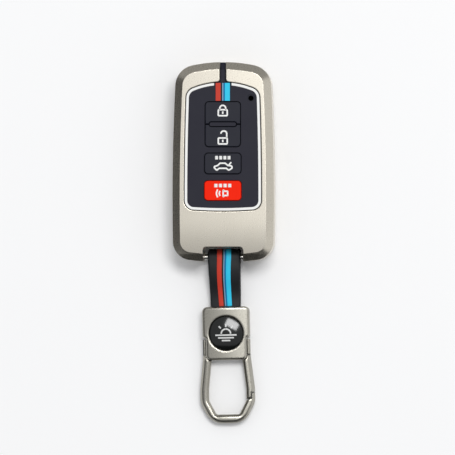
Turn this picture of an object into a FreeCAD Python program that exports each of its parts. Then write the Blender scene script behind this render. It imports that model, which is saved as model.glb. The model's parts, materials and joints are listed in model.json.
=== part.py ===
import FreeCAD, Part
import math
import os

import Sketcher

# Key fob cover: two metal shells over a silicone sleeve, with a silicone strap and a snap hook.
# Millimetres. The cover lies on its back: +X is the right of its face, +Y its top, +Z out of the face.
# The origin is the middle of the back.

SIZES = {
    # Outline of both shells: four flat arcs with round corners between them
    "case_width": 40.8,
    "case_length": 80.4,
    "case_top_radius": 60.0,
    "case_side_radius": 950.0,
    "case_widest_below": 15.0,
    "case_bottom_radius": 110.0,
    "case_top_corner": 8.5,
    "case_bottom_corner": 7.6,
    # Shells, from the back up
    "rear_depth": 8.6,
    "seam_height": 0.8,
    "front_depth": 8.6,
    "shell_wall": 1.4,
    "back_wall": 1.4,
    "roof": 1.5,
    "roof_step_inset": 3.0,
    "roof_step_drop": 1.3,
    "facet_width": 3.0,
    "facet_depth": 2.6,
    "rear_facet": 1.8,
    "face_edge_round": 0.3,
    "back_groove_width": 0.6,
    "back_groove_depth": 0.25,
    # Window for the button field
    "window_width": 31.3,
    "window_top_border": 8.0,
    "window_bottom_border": 20.3,
    "window_top_radius": 33.0,
    "window_side_radius": 1200.0,
    "window_widest_below": 14.0,
    "window_bottom_radius": 170.0,
    "window_top_corner": 4.5,
    "window_bottom_corner": 4.0,
    # Slit from the window to the top edge, with the rubber rib in it
    "slit_width": 2.5,
    "slit_flare": 1.2,
    "rib_width": 1.5,
    "rib_sink": 0.4,
    "rib_end_inset": 0.1,
    "rib_plug_drop": 0.6,
    # Notch at the bottom, where the strap comes out
    "notch_width": 16.2,
    "notch_depth": 6.0,
    "notch_corner": 1.4,
    "notch_wall": 1.4,
    # Silicone sleeve
    "sleeve_fit": 0.1,
    "sleeve_wall": 1.2,
    "sleeve_floor": 1.0,
    "bead_inset": 0.3,
    "lip_height": 2.2,
    "lip_gap": 0.2,
    # Button field
    "keypad_web": 0.9,
    "field_sink": 0.2,
    "ring_gap": 0.3,
    "ring_width": 1.05,
    "ring_fit": 0.05,
    "ring_sink": 0.1,
    "ring_edge_round": 0.2,
    "stripe_width": 2.0,
    "pin_stripe_width": 0.5,
    "stripe_gap": 0.6,
    "stripe_rise": 0.2,
    "stripe_channel": 0.4,
    "stripe_foot_gap": 0.15,
    "sight_hole": 2.2,
    "sight_hole_side": 11.3,
    "sight_hole_share": 0.127,
    "sight_dish": 3.2,
    "sight_dish_depth": 0.35,
    # Buttons: depths of their middles below the window's top, and cap heights, as shares of its height
    "pair_middle_share": 0.328,
    "pair_cap_width": 14.1,
    "pair_cap_share": 0.169,
    "pair_groove": 0.35,
    "trunk_middle_share": 0.6305,
    "trunk_cap_width": 14.6,
    "trunk_cap_share": 0.158,
    "panic_middle_share": 0.839,
    "panic_cap_width": 14.7,
    "panic_cap_share": 0.15,
    "cap_corner": 1.4,
    "cap_groove": 0.3,
    "cap_rise": 0.35,
    "cap_edge_round": 0.3,
    "flange_margin": 0.7,
    "flange_depth": 0.8,
    "flange_corner": 2.1,
    "flange_side_fit": 0.25,
    "flange_fit": 0.15,
    "press_travel": 0.8,
    "plunger_radius": 2.0,
    "plunger_gap": 0.05,
    "pill_length": 10.6,
    "pill_width": 1.5,
    "pill_corner": 0.7,
    "pill_rise": 0.3,
    "bridge_width": 1.4,
    # Strap and the bar that it hangs on
    "bar_radius": 1.2,
    "bar_seat": 1.0,
    "bar_seat_fit": 0.02,
    "bar_height": 5.4,
    "eye_fit": 0.3,
    "eye_wall": 1.75,
    "eye_gap": 0.4,
    "strap_width": 13.0,
    "strap_thickness": 2.8,
    "strap_bend_radius": 14.0,
    "strap_bend_below": 1.2,
    "strap_free": 17.9,
    "strap_tongue": 8.2,
    "strap_fit": 0.1,
    "stripe_wrap_share": 0.3,
    "stripe_end_gap": 0.3,
    "lean_angle": 1.2,
    # Clasp: a back plate in one piece with the hook, and a front cover
    "clasp_width": 19.0,
    "clasp_neck_width": 16.4,
    "clasp_length": 21.5,
    "clasp_shoulder": 12.0,
    "clasp_shoulder_bevel": 0.7,
    "clasp_corner": 2.0,
    "clasp_back": 1.8,
    "cover_depth": 4.6,
    "cover_bevel": 0.6,
    "clasp_gap": 0.25,
    "slot_roof_fit": 0.1,
    "slot_end_gap": 0.3,
    # Hook bar below the clasp: half widths, and distances below the clasp's end
    "hook_bar_width": 3.4,
    "hook_bar_depth": 4.6,
    "hook_top_half": 9.5,
    "hook_wide_half": 11.0,
    "hook_foot_half": 6.6,
    "hook_wide_below": 11.6,
    "hook_knee_below": 17.2,
    "hook_inner_knee_below": 16.4,
    "hook_inner_foot_half": 4.7,
    "hook_inner_reach": 22.0,
    "hook_foot_bar": 3.5,
    "hook_outer_round": 7.0,
    "hook_inner_round": 1.2,
    "hook_front_bevel": 1.0,
    "hook_back_bevel": 0.5,
    # Gate
    "gate_split_inset": 1.5,
    "gate_split_high": 13.0,
    "gate_split_low": 15.7,
    "gate_split_slope": 0.7,
    "gate_split_gap": 0.35,
    "knuckle_radius": 1.8,
    "knuckle_depth": 1.6,
    "knuckle_fit": 0.2,
    "link_reach": 2.7,
    "link_side": 0.7,
    "pin_radius": 0.8,
    "pin_fit": 0.06,
    "pin_head_radius": 1.3,
    "pin_head_depth": 0.6,
    "pin_end_cover": 0.9,
    "spring_wire": 0.4,
    "spring_radius": 1.15,
    "spring_turns": 2.25,
    "spring_pitch": 0.46,
    "spring_leg": 0.5,
    # Fasteners of the clasp
    "screw_side": 8.0,
    "screw_inset": 2.9,
    "screw_radius": 0.75,
    "screw_head_radius": 1.25,
    "screw_head_depth": 0.7,
    "screw_head_sink": 0.15,
    "screw_reach": 2.6,
    "screw_slot_width": 0.35,
    "screw_slot_depth": 0.3,
    "screw_fit": 0.05,
    "dowel_radius": 1.1,
    "dowel_inset": 4.2,
    "dowel_floor": 0.6,
    # Badge on the cover
    "badge_radius": 6.75,
    "badge_below": 10.7,
    "badge_recess": 1.2,
    "badge_disc_depth": 0.6,
    "badge_fit": 0.05,
    "badge_seat_bevel": 0.5,
    "dome_rim": 0.5,
    "dome_crown": 1.0,
    # Overrun of every cut past the face that it leaves
    "cut_overrun": 1.0,
}

doc = FreeCAD.newDocument("key_fob_cover")
sizes = doc.addObject("Spreadsheet::Sheet", "sizes")
for row, (alias, size) in enumerate(SIZES.items(), start=1):
    sizes.set(f"A{row}", alias)
    sizes.set(f"B{row}", str(size))
    sizes.setAlias(f"B{row}", alias)
doc.recompute()

# Heights and places that several pieces share, as expressions on the sheet
SEAM_TOP = "(sizes.rear_depth + sizes.seam_height)"
CASE_TOP = f"({SEAM_TOP} + sizes.front_depth)"
ROOF_UNDER = f"({CASE_TOP} - sizes.roof)"
STEP_LEVEL = f"({ROOF_UNDER} - sizes.roof_step_drop)"
SLEEVE_INSET = "(sizes.shell_wall + sizes.sleeve_fit)"
HOLLOW_INSET = f"({SLEEVE_INSET} + sizes.sleeve_wall)"
LIP_TOP = f"({SEAM_TOP} + sizes.lip_height)"
SKIRT_LOW = f"({LIP_TOP} + sizes.lip_gap)"
SHOULDER = f"({STEP_LEVEL} - sizes.sleeve_fit)"
KEYPAD_UNDER = f"({SHOULDER} - sizes.keypad_web)"
PLATE_TOP = f"({ROOF_UNDER} - sizes.sleeve_fit)"
FIELD_TOP = f"({CASE_TOP} - sizes.field_sink)"
RING_TOP = f"({CASE_TOP} - sizes.ring_sink)"
FIELD_INSET = "(sizes.ring_gap + sizes.ring_width + sizes.ring_fit)"
FLANGE_LOW = f"({KEYPAD_UNDER} + sizes.press_travel)"
FLANGE_TOP = f"({FLANGE_LOW} + sizes.flange_depth)"
FLANGE_ROOM = f"({FLANGE_TOP} + sizes.flange_fit)"
FLANGE_SPARE = "(sizes.flange_margin + sizes.flange_side_fit)"
BRIDGE_TOP = f"({FLANGE_LOW} - sizes.flange_fit)"

CASE_HIGH_Y = "(sizes.case_length / 2)"
CASE_LOW_Y = "(-sizes.case_length / 2)"
WINDOW_HIGH_Y = f"({CASE_HIGH_Y} - sizes.window_top_border)"
NOTCH_END_Y = f"({CASE_LOW_Y} + sizes.notch_depth)"
CHIN_TOP_Y = f"({NOTCH_END_Y} + sizes.notch_wall)"
CHIN_HALF = "(sizes.notch_width / 2 + sizes.notch_wall)"
CHIN_FOOT = f"({CASE_LOW_Y} + sizes.shell_wall)"
WINDOW_HEIGHT = "(sizes.case_length - sizes.window_top_border - sizes.window_bottom_border)"
PAIR_Y = f"({WINDOW_HIGH_Y} - sizes.pair_middle_share * {WINDOW_HEIGHT})"
TRUNK_Y = f"({WINDOW_HIGH_Y} - sizes.trunk_middle_share * {WINDOW_HEIGHT})"
PANIC_Y = f"({WINDOW_HIGH_Y} - sizes.panic_middle_share * {WINDOW_HEIGHT})"
SIGHT_Y = f"({WINDOW_HIGH_Y} - sizes.sight_hole_share * {WINDOW_HEIGHT})"
PAIR_CAP = f"(sizes.pair_cap_share * {WINDOW_HEIGHT})"
TRUNK_CAP = f"(sizes.trunk_cap_share * {WINDOW_HEIGHT})"
PANIC_CAP = f"(sizes.panic_cap_share * {WINDOW_HEIGHT})"
PAIR_HEIGHT = f"(2 * {PAIR_CAP} + sizes.pair_groove)"
PAIR_TOP_Y = f"({PAIR_Y} + {PAIR_HEIGHT} / 2)"
STRIPE_LOW_Y = f"({PAIR_TOP_Y} + sizes.cap_groove + sizes.stripe_foot_gap)"
STRIPE_HALF = "(sizes.pin_stripe_width / 2 + sizes.stripe_gap + sizes.stripe_width)"

BAR_LENGTH = "(sizes.notch_width + 2 * sizes.bar_seat)"
EYE_RADIUS = "(sizes.bar_radius + sizes.eye_fit + sizes.eye_wall)"
BAR_Y = f"({NOTCH_END_Y} - sizes.eye_gap - sizes.stripe_rise - {EYE_RADIUS})"
CLASP_TOP_Y = f"({CASE_LOW_Y} - sizes.strap_free)"
CLASP_END_Y = f"({CLASP_TOP_Y} - sizes.clasp_length)"
CLASP_FRONT = "(sizes.clasp_back + sizes.cover_depth)"
CORNER_Y = f"({CLASP_END_Y} + sizes.clasp_corner)"
HOOK_INNER_FOOT_Y = f"({CLASP_END_Y} - sizes.hook_inner_reach)"
HOOK_FOOT_Y = f"({HOOK_INNER_FOOT_Y} - sizes.hook_foot_bar)"
DOWEL_Y = f"({CLASP_TOP_Y} - sizes.dowel_inset)"
PIVOT_X = "(sizes.clasp_neck_width / 2 - sizes.clasp_corner)"
SLOT_TOP = "(sizes.clasp_back + sizes.strap_fit + sizes.strap_thickness + sizes.slot_roof_fit)"
KNUCKLE_LOW = "(sizes.clasp_back + sizes.knuckle_fit)"
KNUCKLE_TOP = f"({KNUCKLE_LOW} + sizes.knuckle_depth)"
KNUCKLE_ROOM = f"({KNUCKLE_TOP} + sizes.knuckle_fit)"
SPRING_COIL = "(sizes.spring_turns * sizes.spring_pitch + sizes.spring_wire)"
SPRING_ROOM = f"({KNUCKLE_ROOM} + {SPRING_COIL} + sizes.knuckle_fit)"
PIN_END = f"({CLASP_FRONT} - sizes.pin_end_cover)"
BADGE_Y = f"({CLASP_TOP_Y} - sizes.badge_below)"
BADGE_FLOOR = f"({CLASP_FRONT} - sizes.badge_recess)"

LEAN = "(sizes.lean_angle * 1 deg)"
ROUND_TURN = 2 * math.pi
NEAR = 1e-4
FINISHED = []


def value(expression):
    """Number that an expression on the sheet stands for."""
    return float(sizes.evalExpression(expression))


def new_body(label):
    """Empty body for one sub-part."""
    body = doc.addObject("PartDesign::Body", label)
    body.Label = label
    return body


def new_sketch(body, name, height="0", plane="XY_Plane"):
    """Sketch on one of the body's origin planes, moved along the plane's normal by a height."""
    sketch = body.newObject("Sketcher::SketchObject", f"{body.Label}_{name}")
    support = next(item for item in body.Origin.OriginFeatures if item.Role == plane)
    sketch.AttachmentSupport = [(support, "")]
    sketch.MapMode = "FlatFace"
    sketch.setExpression("AttachmentOffset.Base.z", height)
    return sketch


def bind(sketch, kind, *parts):
    """Add a sketch constraint whose last part is an expression on the sheet."""
    *where, expression = parts
    index = sketch.addConstraint(Sketcher.Constraint(kind, *where, value(expression)))
    sketch.setExpression(f"Constraints[{index}]", expression)


def fix_point(sketch, geometry, end, x, y):
    """Hold a sketch point at a place; a zero holds it on the axis."""
    for kind, axis, place in (("DistanceX", -2, x), ("DistanceY", -1, y)):
        if place == "0":
            sketch.addConstraint(Sketcher.Constraint("PointOnObject", geometry, end, axis))
        else:
            bind(sketch, kind, -1, 1, geometry, end, place)


def arc_between(start, finish, radius):
    """Arc of less than a half turn, anticlockwise for a positive radius, and the order of its ends."""
    turn = 1 if radius > 0 else -1
    radius = abs(radius)
    chord = finish - start
    rise = math.sqrt(radius ** 2 - chord.Length ** 2 / 4)
    side = FreeCAD.Vector(-chord.y, chord.x, 0).normalize() * turn
    centre = (start + finish) / 2 + side * rise
    first, last = (start, finish) if turn > 0 else (finish, start)
    low = math.atan2(first.y - centre.y, first.x - centre.x)
    high = math.atan2(last.y - centre.y, last.x - centre.x)
    if high < low:
        high += ROUND_TURN
    arc = Part.ArcOfCircle(Part.Circle(centre, FreeCAD.Vector(0, 0, 1), radius), low, high)
    return arc, ((1, 2) if turn > 0 else (2, 1))


def draw_profile(sketch, corners, radii=None):
    """Closed outline through corners given as expressions; radii bend the side after a corner."""
    radii = radii or {}
    points = [FreeCAD.Vector(value(x), value(y), 0) for x, y in corners]
    sides = []
    for number, start in enumerate(points):
        finish = points[(number + 1) % len(points)]
        if number in radii:
            shape, ends = arc_between(start, finish, value(radii[number]))
        else:
            shape, ends = Part.LineSegment(start, finish), (1, 2)
        sides.append((sketch.addGeometry(shape), ends))
    for number, (side, ends) in enumerate(sides):
        following, next_ends = sides[(number + 1) % len(sides)]
        sketch.addConstraint(Sketcher.Constraint("Coincident", side, ends[1], following, next_ends[0]))
        fix_point(sketch, side, ends[0], *corners[number])
        if number in radii:
            bind(sketch, "Radius", side, radii[number].lstrip("-"))
    return sketch


def draw_circle(sketch, x, y, radius):
    """Circle at a place."""
    centre = FreeCAD.Vector(value(x), value(y), 0)
    ring = sketch.addGeometry(Part.Circle(centre, FreeCAD.Vector(0, 0, 1), value(radius)))
    fix_point(sketch, ring, 3, x, y)
    bind(sketch, "Radius", ring, radius)
    return sketch


def draw_box(sketch, left, right, low, high):
    """Plain rectangle between four places."""
    return draw_profile(sketch, [(left, low), (right, low), (right, high), (left, high)])


def draw_rounded_box(sketch, left, right, low, high, corner):
    """Rectangle with round corners, as eight sides."""
    corners = [
        (f"{left} + {corner}", low),
        (f"{right} - {corner}", low),
        (right, f"{low} + {corner}"),
        (right, f"{high} - {corner}"),
        (f"{right} - {corner}", high),
        (f"{left} + {corner}", high),
        (left, f"{high} - {corner}"),
        (left, f"{low} + {corner}"),
    ]
    return draw_profile(sketch, corners, {side: corner for side in (1, 3, 5, 7)})


def circles_meet(first, first_radius, second, second_radius, near):
    """Where two circles cross, on the side of a given point."""
    apart = second - first
    along = (first_radius ** 2 - second_radius ** 2 + apart.Length ** 2) / (2 * apart.Length)
    across = math.sqrt(first_radius ** 2 - along ** 2)
    unit = FreeCAD.Vector(apart).normalize()
    middle = first + unit * along
    normal = FreeCAD.Vector(-unit.y, unit.x, 0) * across
    return min((middle + normal, middle - normal), key=lambda point: (point - near).Length)


class FourArcs:
    """Outline of four flat arcs and four round corners, which can be drawn at any inset."""

    def __init__(self, prefix, high, low):
        self.half = f"sizes.{prefix}_width / 2"
        self.high = high
        self.low = low
        self.widest = f"-sizes.{prefix}_widest_below"
        self.top = f"sizes.{prefix}_top_radius"
        self.side = f"sizes.{prefix}_side_radius"
        self.bottom = f"sizes.{prefix}_bottom_radius"
        self.top_corner = f"sizes.{prefix}_top_corner"
        self.bottom_corner = f"sizes.{prefix}_bottom_corner"

    def draw(self, sketch, inset="0"):
        """Draw the outline, drawn in by the inset all round."""
        flats = {
            "right": (f"{self.half} - {self.side}", self.widest, self.side),
            "top": ("0", f"{self.high} - {self.top}", self.top),
            "left": (f"{self.side} - {self.half}", self.widest, self.side),
            "bottom": ("0", f"{self.low} + {self.bottom}", self.bottom),
        }
        turns = [
            ("right", "top", self.top_corner, 1, self.high),
            ("top", "left", self.top_corner, -1, self.high),
            ("left", "bottom", self.bottom_corner, -1, self.low),
            ("bottom", "right", self.bottom_corner, 1, self.low),
        ]
        place = {name: FreeCAD.Vector(value(x), value(y), 0) for name, (x, y, radius) in flats.items()}
        reach = {name: value(radius) for name, (x, y, radius) in flats.items()}
        rounds = []
        for before, after, corner, side, level in turns:
            near = FreeCAD.Vector(side * value(self.half), value(level), 0)
            radius = value(corner)
            reaches = reach[before] - radius, reach[after] - radius
            middle = circles_meet(place[before], reaches[0], place[after], reaches[1], near)
            rounds.append((before, after, corner, middle))

        drawn = []
        for number, (before, after, corner, middle) in enumerate(rounds):
            centre = place[before]
            last_middle = rounds[number - 1][3]
            drawn.append((flats[before], centre, last_middle - centre, middle - centre))
            drawn.append((("", "", corner), middle, middle - centre, middle - place[after]))
        sides = []
        for (x, y, radius), centre, start, finish in drawn:
            low = math.atan2(start.y, start.x)
            high = math.atan2(finish.y, finish.x)
            if high < low:
                high += ROUND_TURN
            circle = Part.Circle(centre, FreeCAD.Vector(0, 0, 1), value(f"{radius} - ({inset})"))
            sides.append(sketch.addGeometry(Part.ArcOfCircle(circle, low, high)))
        for number, side in enumerate(sides):
            following = sides[(number + 1) % len(sides)]
            sketch.addConstraint(Sketcher.Constraint("Tangent", side, 2, following, 1))
            x, y, radius = drawn[number][0]
            bind(sketch, "Radius", side, f"{radius} - ({inset})")
            if x:
                fix_point(sketch, side, 3, x, y)
        return sketch


CASE = FourArcs("case", CASE_HIGH_Y, CASE_LOW_Y)
WINDOW = FourArcs("window", WINDOW_HIGH_Y, f"({CASE_LOW_Y} + sizes.window_bottom_border)")


def pad(body, sketch, length, both_ways=False):
    """Extrude a sketch along its normal, or half each way."""
    feature = body.newObject("PartDesign::Pad", f"{sketch.Name}_pad")
    feature.Profile = sketch
    feature.SideType = "Symmetric" if both_ways else "One side"
    feature.setExpression("Length", length)
    doc.recompute()
    return feature


def pocket(body, sketch, depth, both_ways=False):
    """Cut a sketch into the body, downwards from the sketch or half each way."""
    before = body.Shape.Volume
    feature = body.newObject("PartDesign::Pocket", f"{sketch.Name}_pocket")
    feature.Profile = sketch
    feature.SideType = "Symmetric" if both_ways else "One side"
    feature.setExpression("Length", depth)
    doc.recompute()
    if not body.Shape.Volume < before:
        raise RuntimeError(f"{feature.Name} cuts nothing")
    return feature


def edge_names(feature, wanted):
    """Names of the feature's edges that pass a test."""
    return [f"Edge{number}" for number, edge in enumerate(feature.Shape.Edges, start=1) if wanted(edge)]


def is_upright(edge):
    """A straight edge along Z."""
    if not isinstance(edge.Curve, Part.Line):
        return False
    return abs(abs(edge.tangentAt(edge.FirstParameter).z) - 1) < NEAR


def is_level(edge, height):
    """An edge that lies flat at a height."""
    box = edge.BoundBox
    return abs(box.ZMin - height) < NEAR and abs(box.ZMax - height) < NEAR


def is_round(edge, radius):
    """An edge along a circle of a radius."""
    return isinstance(edge.Curve, Part.Circle) and abs(edge.Curve.Radius - radius) < NEAR


def soften(body, kind, edges, **sizes_by_name):
    """Fillet or chamfer the named edges of the body's tip."""
    base = body.Tip
    feature = body.newObject(f"PartDesign::{kind}", f"{body.Label}_{kind.lower()}")
    feature.Base = (base, edges)
    if "Size2" in sizes_by_name:
        feature.ChamferType = "Two distances"
    for name, expression in sizes_by_name.items():
        feature.setExpression(name, expression)
    doc.recompute()
    return feature


def finish(item, label=None, leans=False):
    """Keep an object as a finished sub-part; the strap hangs a little askew, and the clasp with it."""
    item.Label = label or item.Label
    if leans:
        item.Placement.Rotation = FreeCAD.Rotation(FreeCAD.Vector(0, 0, 1), value("sizes.lean_angle"))
        item.setExpression("Placement.Rotation.Angle", LEAN)
        item.setExpression("Placement.Base.x", f"sin({LEAN}) * {BAR_Y}")
        item.setExpression("Placement.Base.y", f"(1 - cos({LEAN})) * {BAR_Y}")
    FINISHED.append(item)
    return item


def chin_box(body, name, height, spare, low=f"{CASE_LOW_Y} - sizes.cut_overrun"):
    """Rectangle round the notch, wider than its metal walls by a spare."""
    half = f"({CHIN_HALF} + {spare})"
    return draw_box(new_sketch(body, name, height), f"-{half}", half, low, f"{CHIN_TOP_Y} + {spare}")


def notch_cut(body, height, depth):
    """Open the notch through a shell, with round inner corners."""
    low = f"({CASE_LOW_Y} - sizes.cut_overrun - sizes.notch_corner)"
    half = "(sizes.notch_width / 2)"
    sketch = new_sketch(body, "notch", height)
    draw_rounded_box(sketch, f"-{half}", half, low, NOTCH_END_Y, "sizes.notch_corner")
    pocket(body, sketch, depth)


def build_front_shell():
    """Front metal shell: faceted rim, window, slit and notch."""
    shell = new_body("front_shell")
    block = pad(shell, CASE.draw(new_sketch(shell, "outline", SEAM_TOP)), "sizes.front_depth")
    rim = edge_names(block, lambda edge: is_level(edge, value(CASE_TOP)))
    soften(shell, "Chamfer", rim, Size="sizes.facet_depth", Size2="sizes.facet_width")
    hollow = CASE.draw(new_sketch(shell, "hollow", STEP_LEVEL), "sizes.shell_wall")
    pocket(shell, hollow, f"{STEP_LEVEL} - {SEAM_TOP}")
    crown = CASE.draw(new_sketch(shell, "crown", ROOF_UNDER), "sizes.roof_step_inset")
    pocket(shell, crown, "sizes.roof_step_drop")
    pad(shell, chin_box(shell, "chin", SEAM_TOP, "0", CHIN_FOOT), f"{STEP_LEVEL} - {SEAM_TOP}")
    crown_foot = f"({CASE_LOW_Y} + sizes.roof_step_inset)"
    pad(shell, chin_box(shell, "chin_top", STEP_LEVEL, "0", crown_foot), f"{ROOF_UNDER} - {STEP_LEVEL}")
    window = WINDOW.draw(new_sketch(shell, "window", CASE_TOP))
    pocket(shell, window, "sizes.roof + sizes.cut_overrun")
    half = "(sizes.slit_width / 2)"
    inner_end = f"{WINDOW_HIGH_Y} - sizes.window_top_corner"
    slit = new_sketch(shell, "slit", CASE_TOP)
    draw_box(slit, f"-{half}", half, inner_end, f"{CASE_HIGH_Y} + sizes.cut_overrun")
    pocket(shell, slit, "sizes.front_depth + sizes.cut_overrun")
    notch_cut(shell, CASE_TOP, "sizes.front_depth + sizes.cut_overrun")

    def at_flare(edge):
        middle = edge.CenterOfMass
        beside = abs(abs(middle.x) - value(half)) < NEAR
        return is_upright(edge) and beside and middle.y < value(WINDOW_HIGH_Y) + NEAR

    soften(shell, "Fillet", edge_names(shell.Tip, at_flare), Radius="sizes.slit_flare")
    face_edges = edge_names(shell.Tip, lambda edge: is_level(edge, value(CASE_TOP)))
    soften(shell, "Fillet", face_edges, Radius="sizes.face_edge_round")
    return finish(shell)


def build_rear_shell():
    """Rear metal shell: a tray with the strap bar's seats in the walls of its notch."""
    shell = new_body("rear_shell")
    block = pad(shell, CASE.draw(new_sketch(shell, "outline")), "sizes.rear_depth")
    rim = edge_names(block, lambda edge: is_level(edge, 0))
    soften(shell, "Chamfer", rim, Size="sizes.rear_facet")
    hollow = CASE.draw(new_sketch(shell, "hollow", "sizes.rear_depth"), "sizes.shell_wall")
    pocket(shell, hollow, "sizes.rear_depth - sizes.back_wall")
    chin = chin_box(shell, "chin", "sizes.back_wall", "0", CHIN_FOOT)
    pad(shell, chin, "sizes.rear_depth - sizes.back_wall")
    notch_cut(shell, "sizes.rear_depth", "sizes.rear_depth + sizes.cut_overrun")
    seat = new_sketch(shell, "bar_seat", plane="YZ_Plane")
    draw_circle(seat, BAR_Y, "sizes.bar_height", "sizes.bar_radius + sizes.bar_seat_fit")
    pocket(shell, seat, f"{BAR_LENGTH} + sizes.bar_seat_fit * 2", both_ways=True)
    groove = new_sketch(shell, "back_groove", "sizes.back_groove_depth")
    WINDOW.draw(groove)
    WINDOW.draw(groove, "sizes.back_groove_width")
    pocket(shell, groove, "sizes.back_groove_depth + sizes.cut_overrun")
    return finish(shell)


def build_strap_bar():
    """Steel bar across the notch."""
    bar = doc.addObject("Part::Cylinder", "strap_bar")
    bar.setExpression("Radius", "sizes.bar_radius")
    bar.setExpression("Height", BAR_LENGTH)
    bar.Placement.Rotation = FreeCAD.Rotation(FreeCAD.Vector(0, 1, 0), 90)
    bar.setExpression("Placement.Base.x", f"-{BAR_LENGTH} / 2")
    bar.setExpression("Placement.Base.y", BAR_Y)
    bar.setExpression("Placement.Base.z", "sizes.bar_height")
    return finish(bar)


def build_rear_liner():
    """Silicone tray of the sleeve, with the bead that shows between the shells and a plug-in lip."""
    liner = new_body("rear_liner")
    floor = "(sizes.back_wall + sizes.sleeve_fit)"
    outline = CASE.draw(new_sketch(liner, "outline", floor), SLEEVE_INSET)
    pad(liner, outline, f"{LIP_TOP} - {floor}")
    bead = CASE.draw(new_sketch(liner, "bead", "sizes.rear_depth"), "sizes.bead_inset")
    pad(liner, bead, "sizes.seam_height")
    hollow = CASE.draw(new_sketch(liner, "hollow", LIP_TOP), HOLLOW_INSET)
    pocket(liner, hollow, f"{LIP_TOP} - {floor} - sizes.sleeve_floor")
    sleeve_chin(liner, floor, LIP_TOP, LIP_TOP)
    return finish(liner)


def sleeve_chin(body, low, high, top):
    """Carry the sleeve's wall round the notch up to a height; clear the metal walls up to the top."""
    spare = "(sizes.sleeve_fit + sizes.sleeve_wall)"
    arc = f"sqrt((sizes.case_bottom_radius - {SLEEVE_INSET}) ^ 2 - ({CHIN_HALF} + {spare}) ^ 2)"
    foot = f"({CASE_LOW_Y} + sizes.case_bottom_radius - {arc})"
    pad(body, chin_box(body, "chin", low, spare, foot), f"{high} - {low}")
    past = f"({top} + sizes.cut_overrun)"
    room = chin_box(body, "chin_room", past, "sizes.sleeve_fit")
    pocket(body, room, f"{past} - {low} + sizes.cut_overrun")


def cap_box(body, name, height, middle, width, tall, spare):
    """Round-cornered outline of a button cap, grown by a spare all round."""
    half = f"({width} / 2 + {spare})"
    low = f"({middle} - {tall} / 2 - {spare})"
    high = f"({middle} + {tall} / 2 + {spare})"
    corner = f"(sizes.cap_corner + {spare})"
    return draw_rounded_box(new_sketch(body, name, height), f"-{half}", half, low, high, corner)


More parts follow.
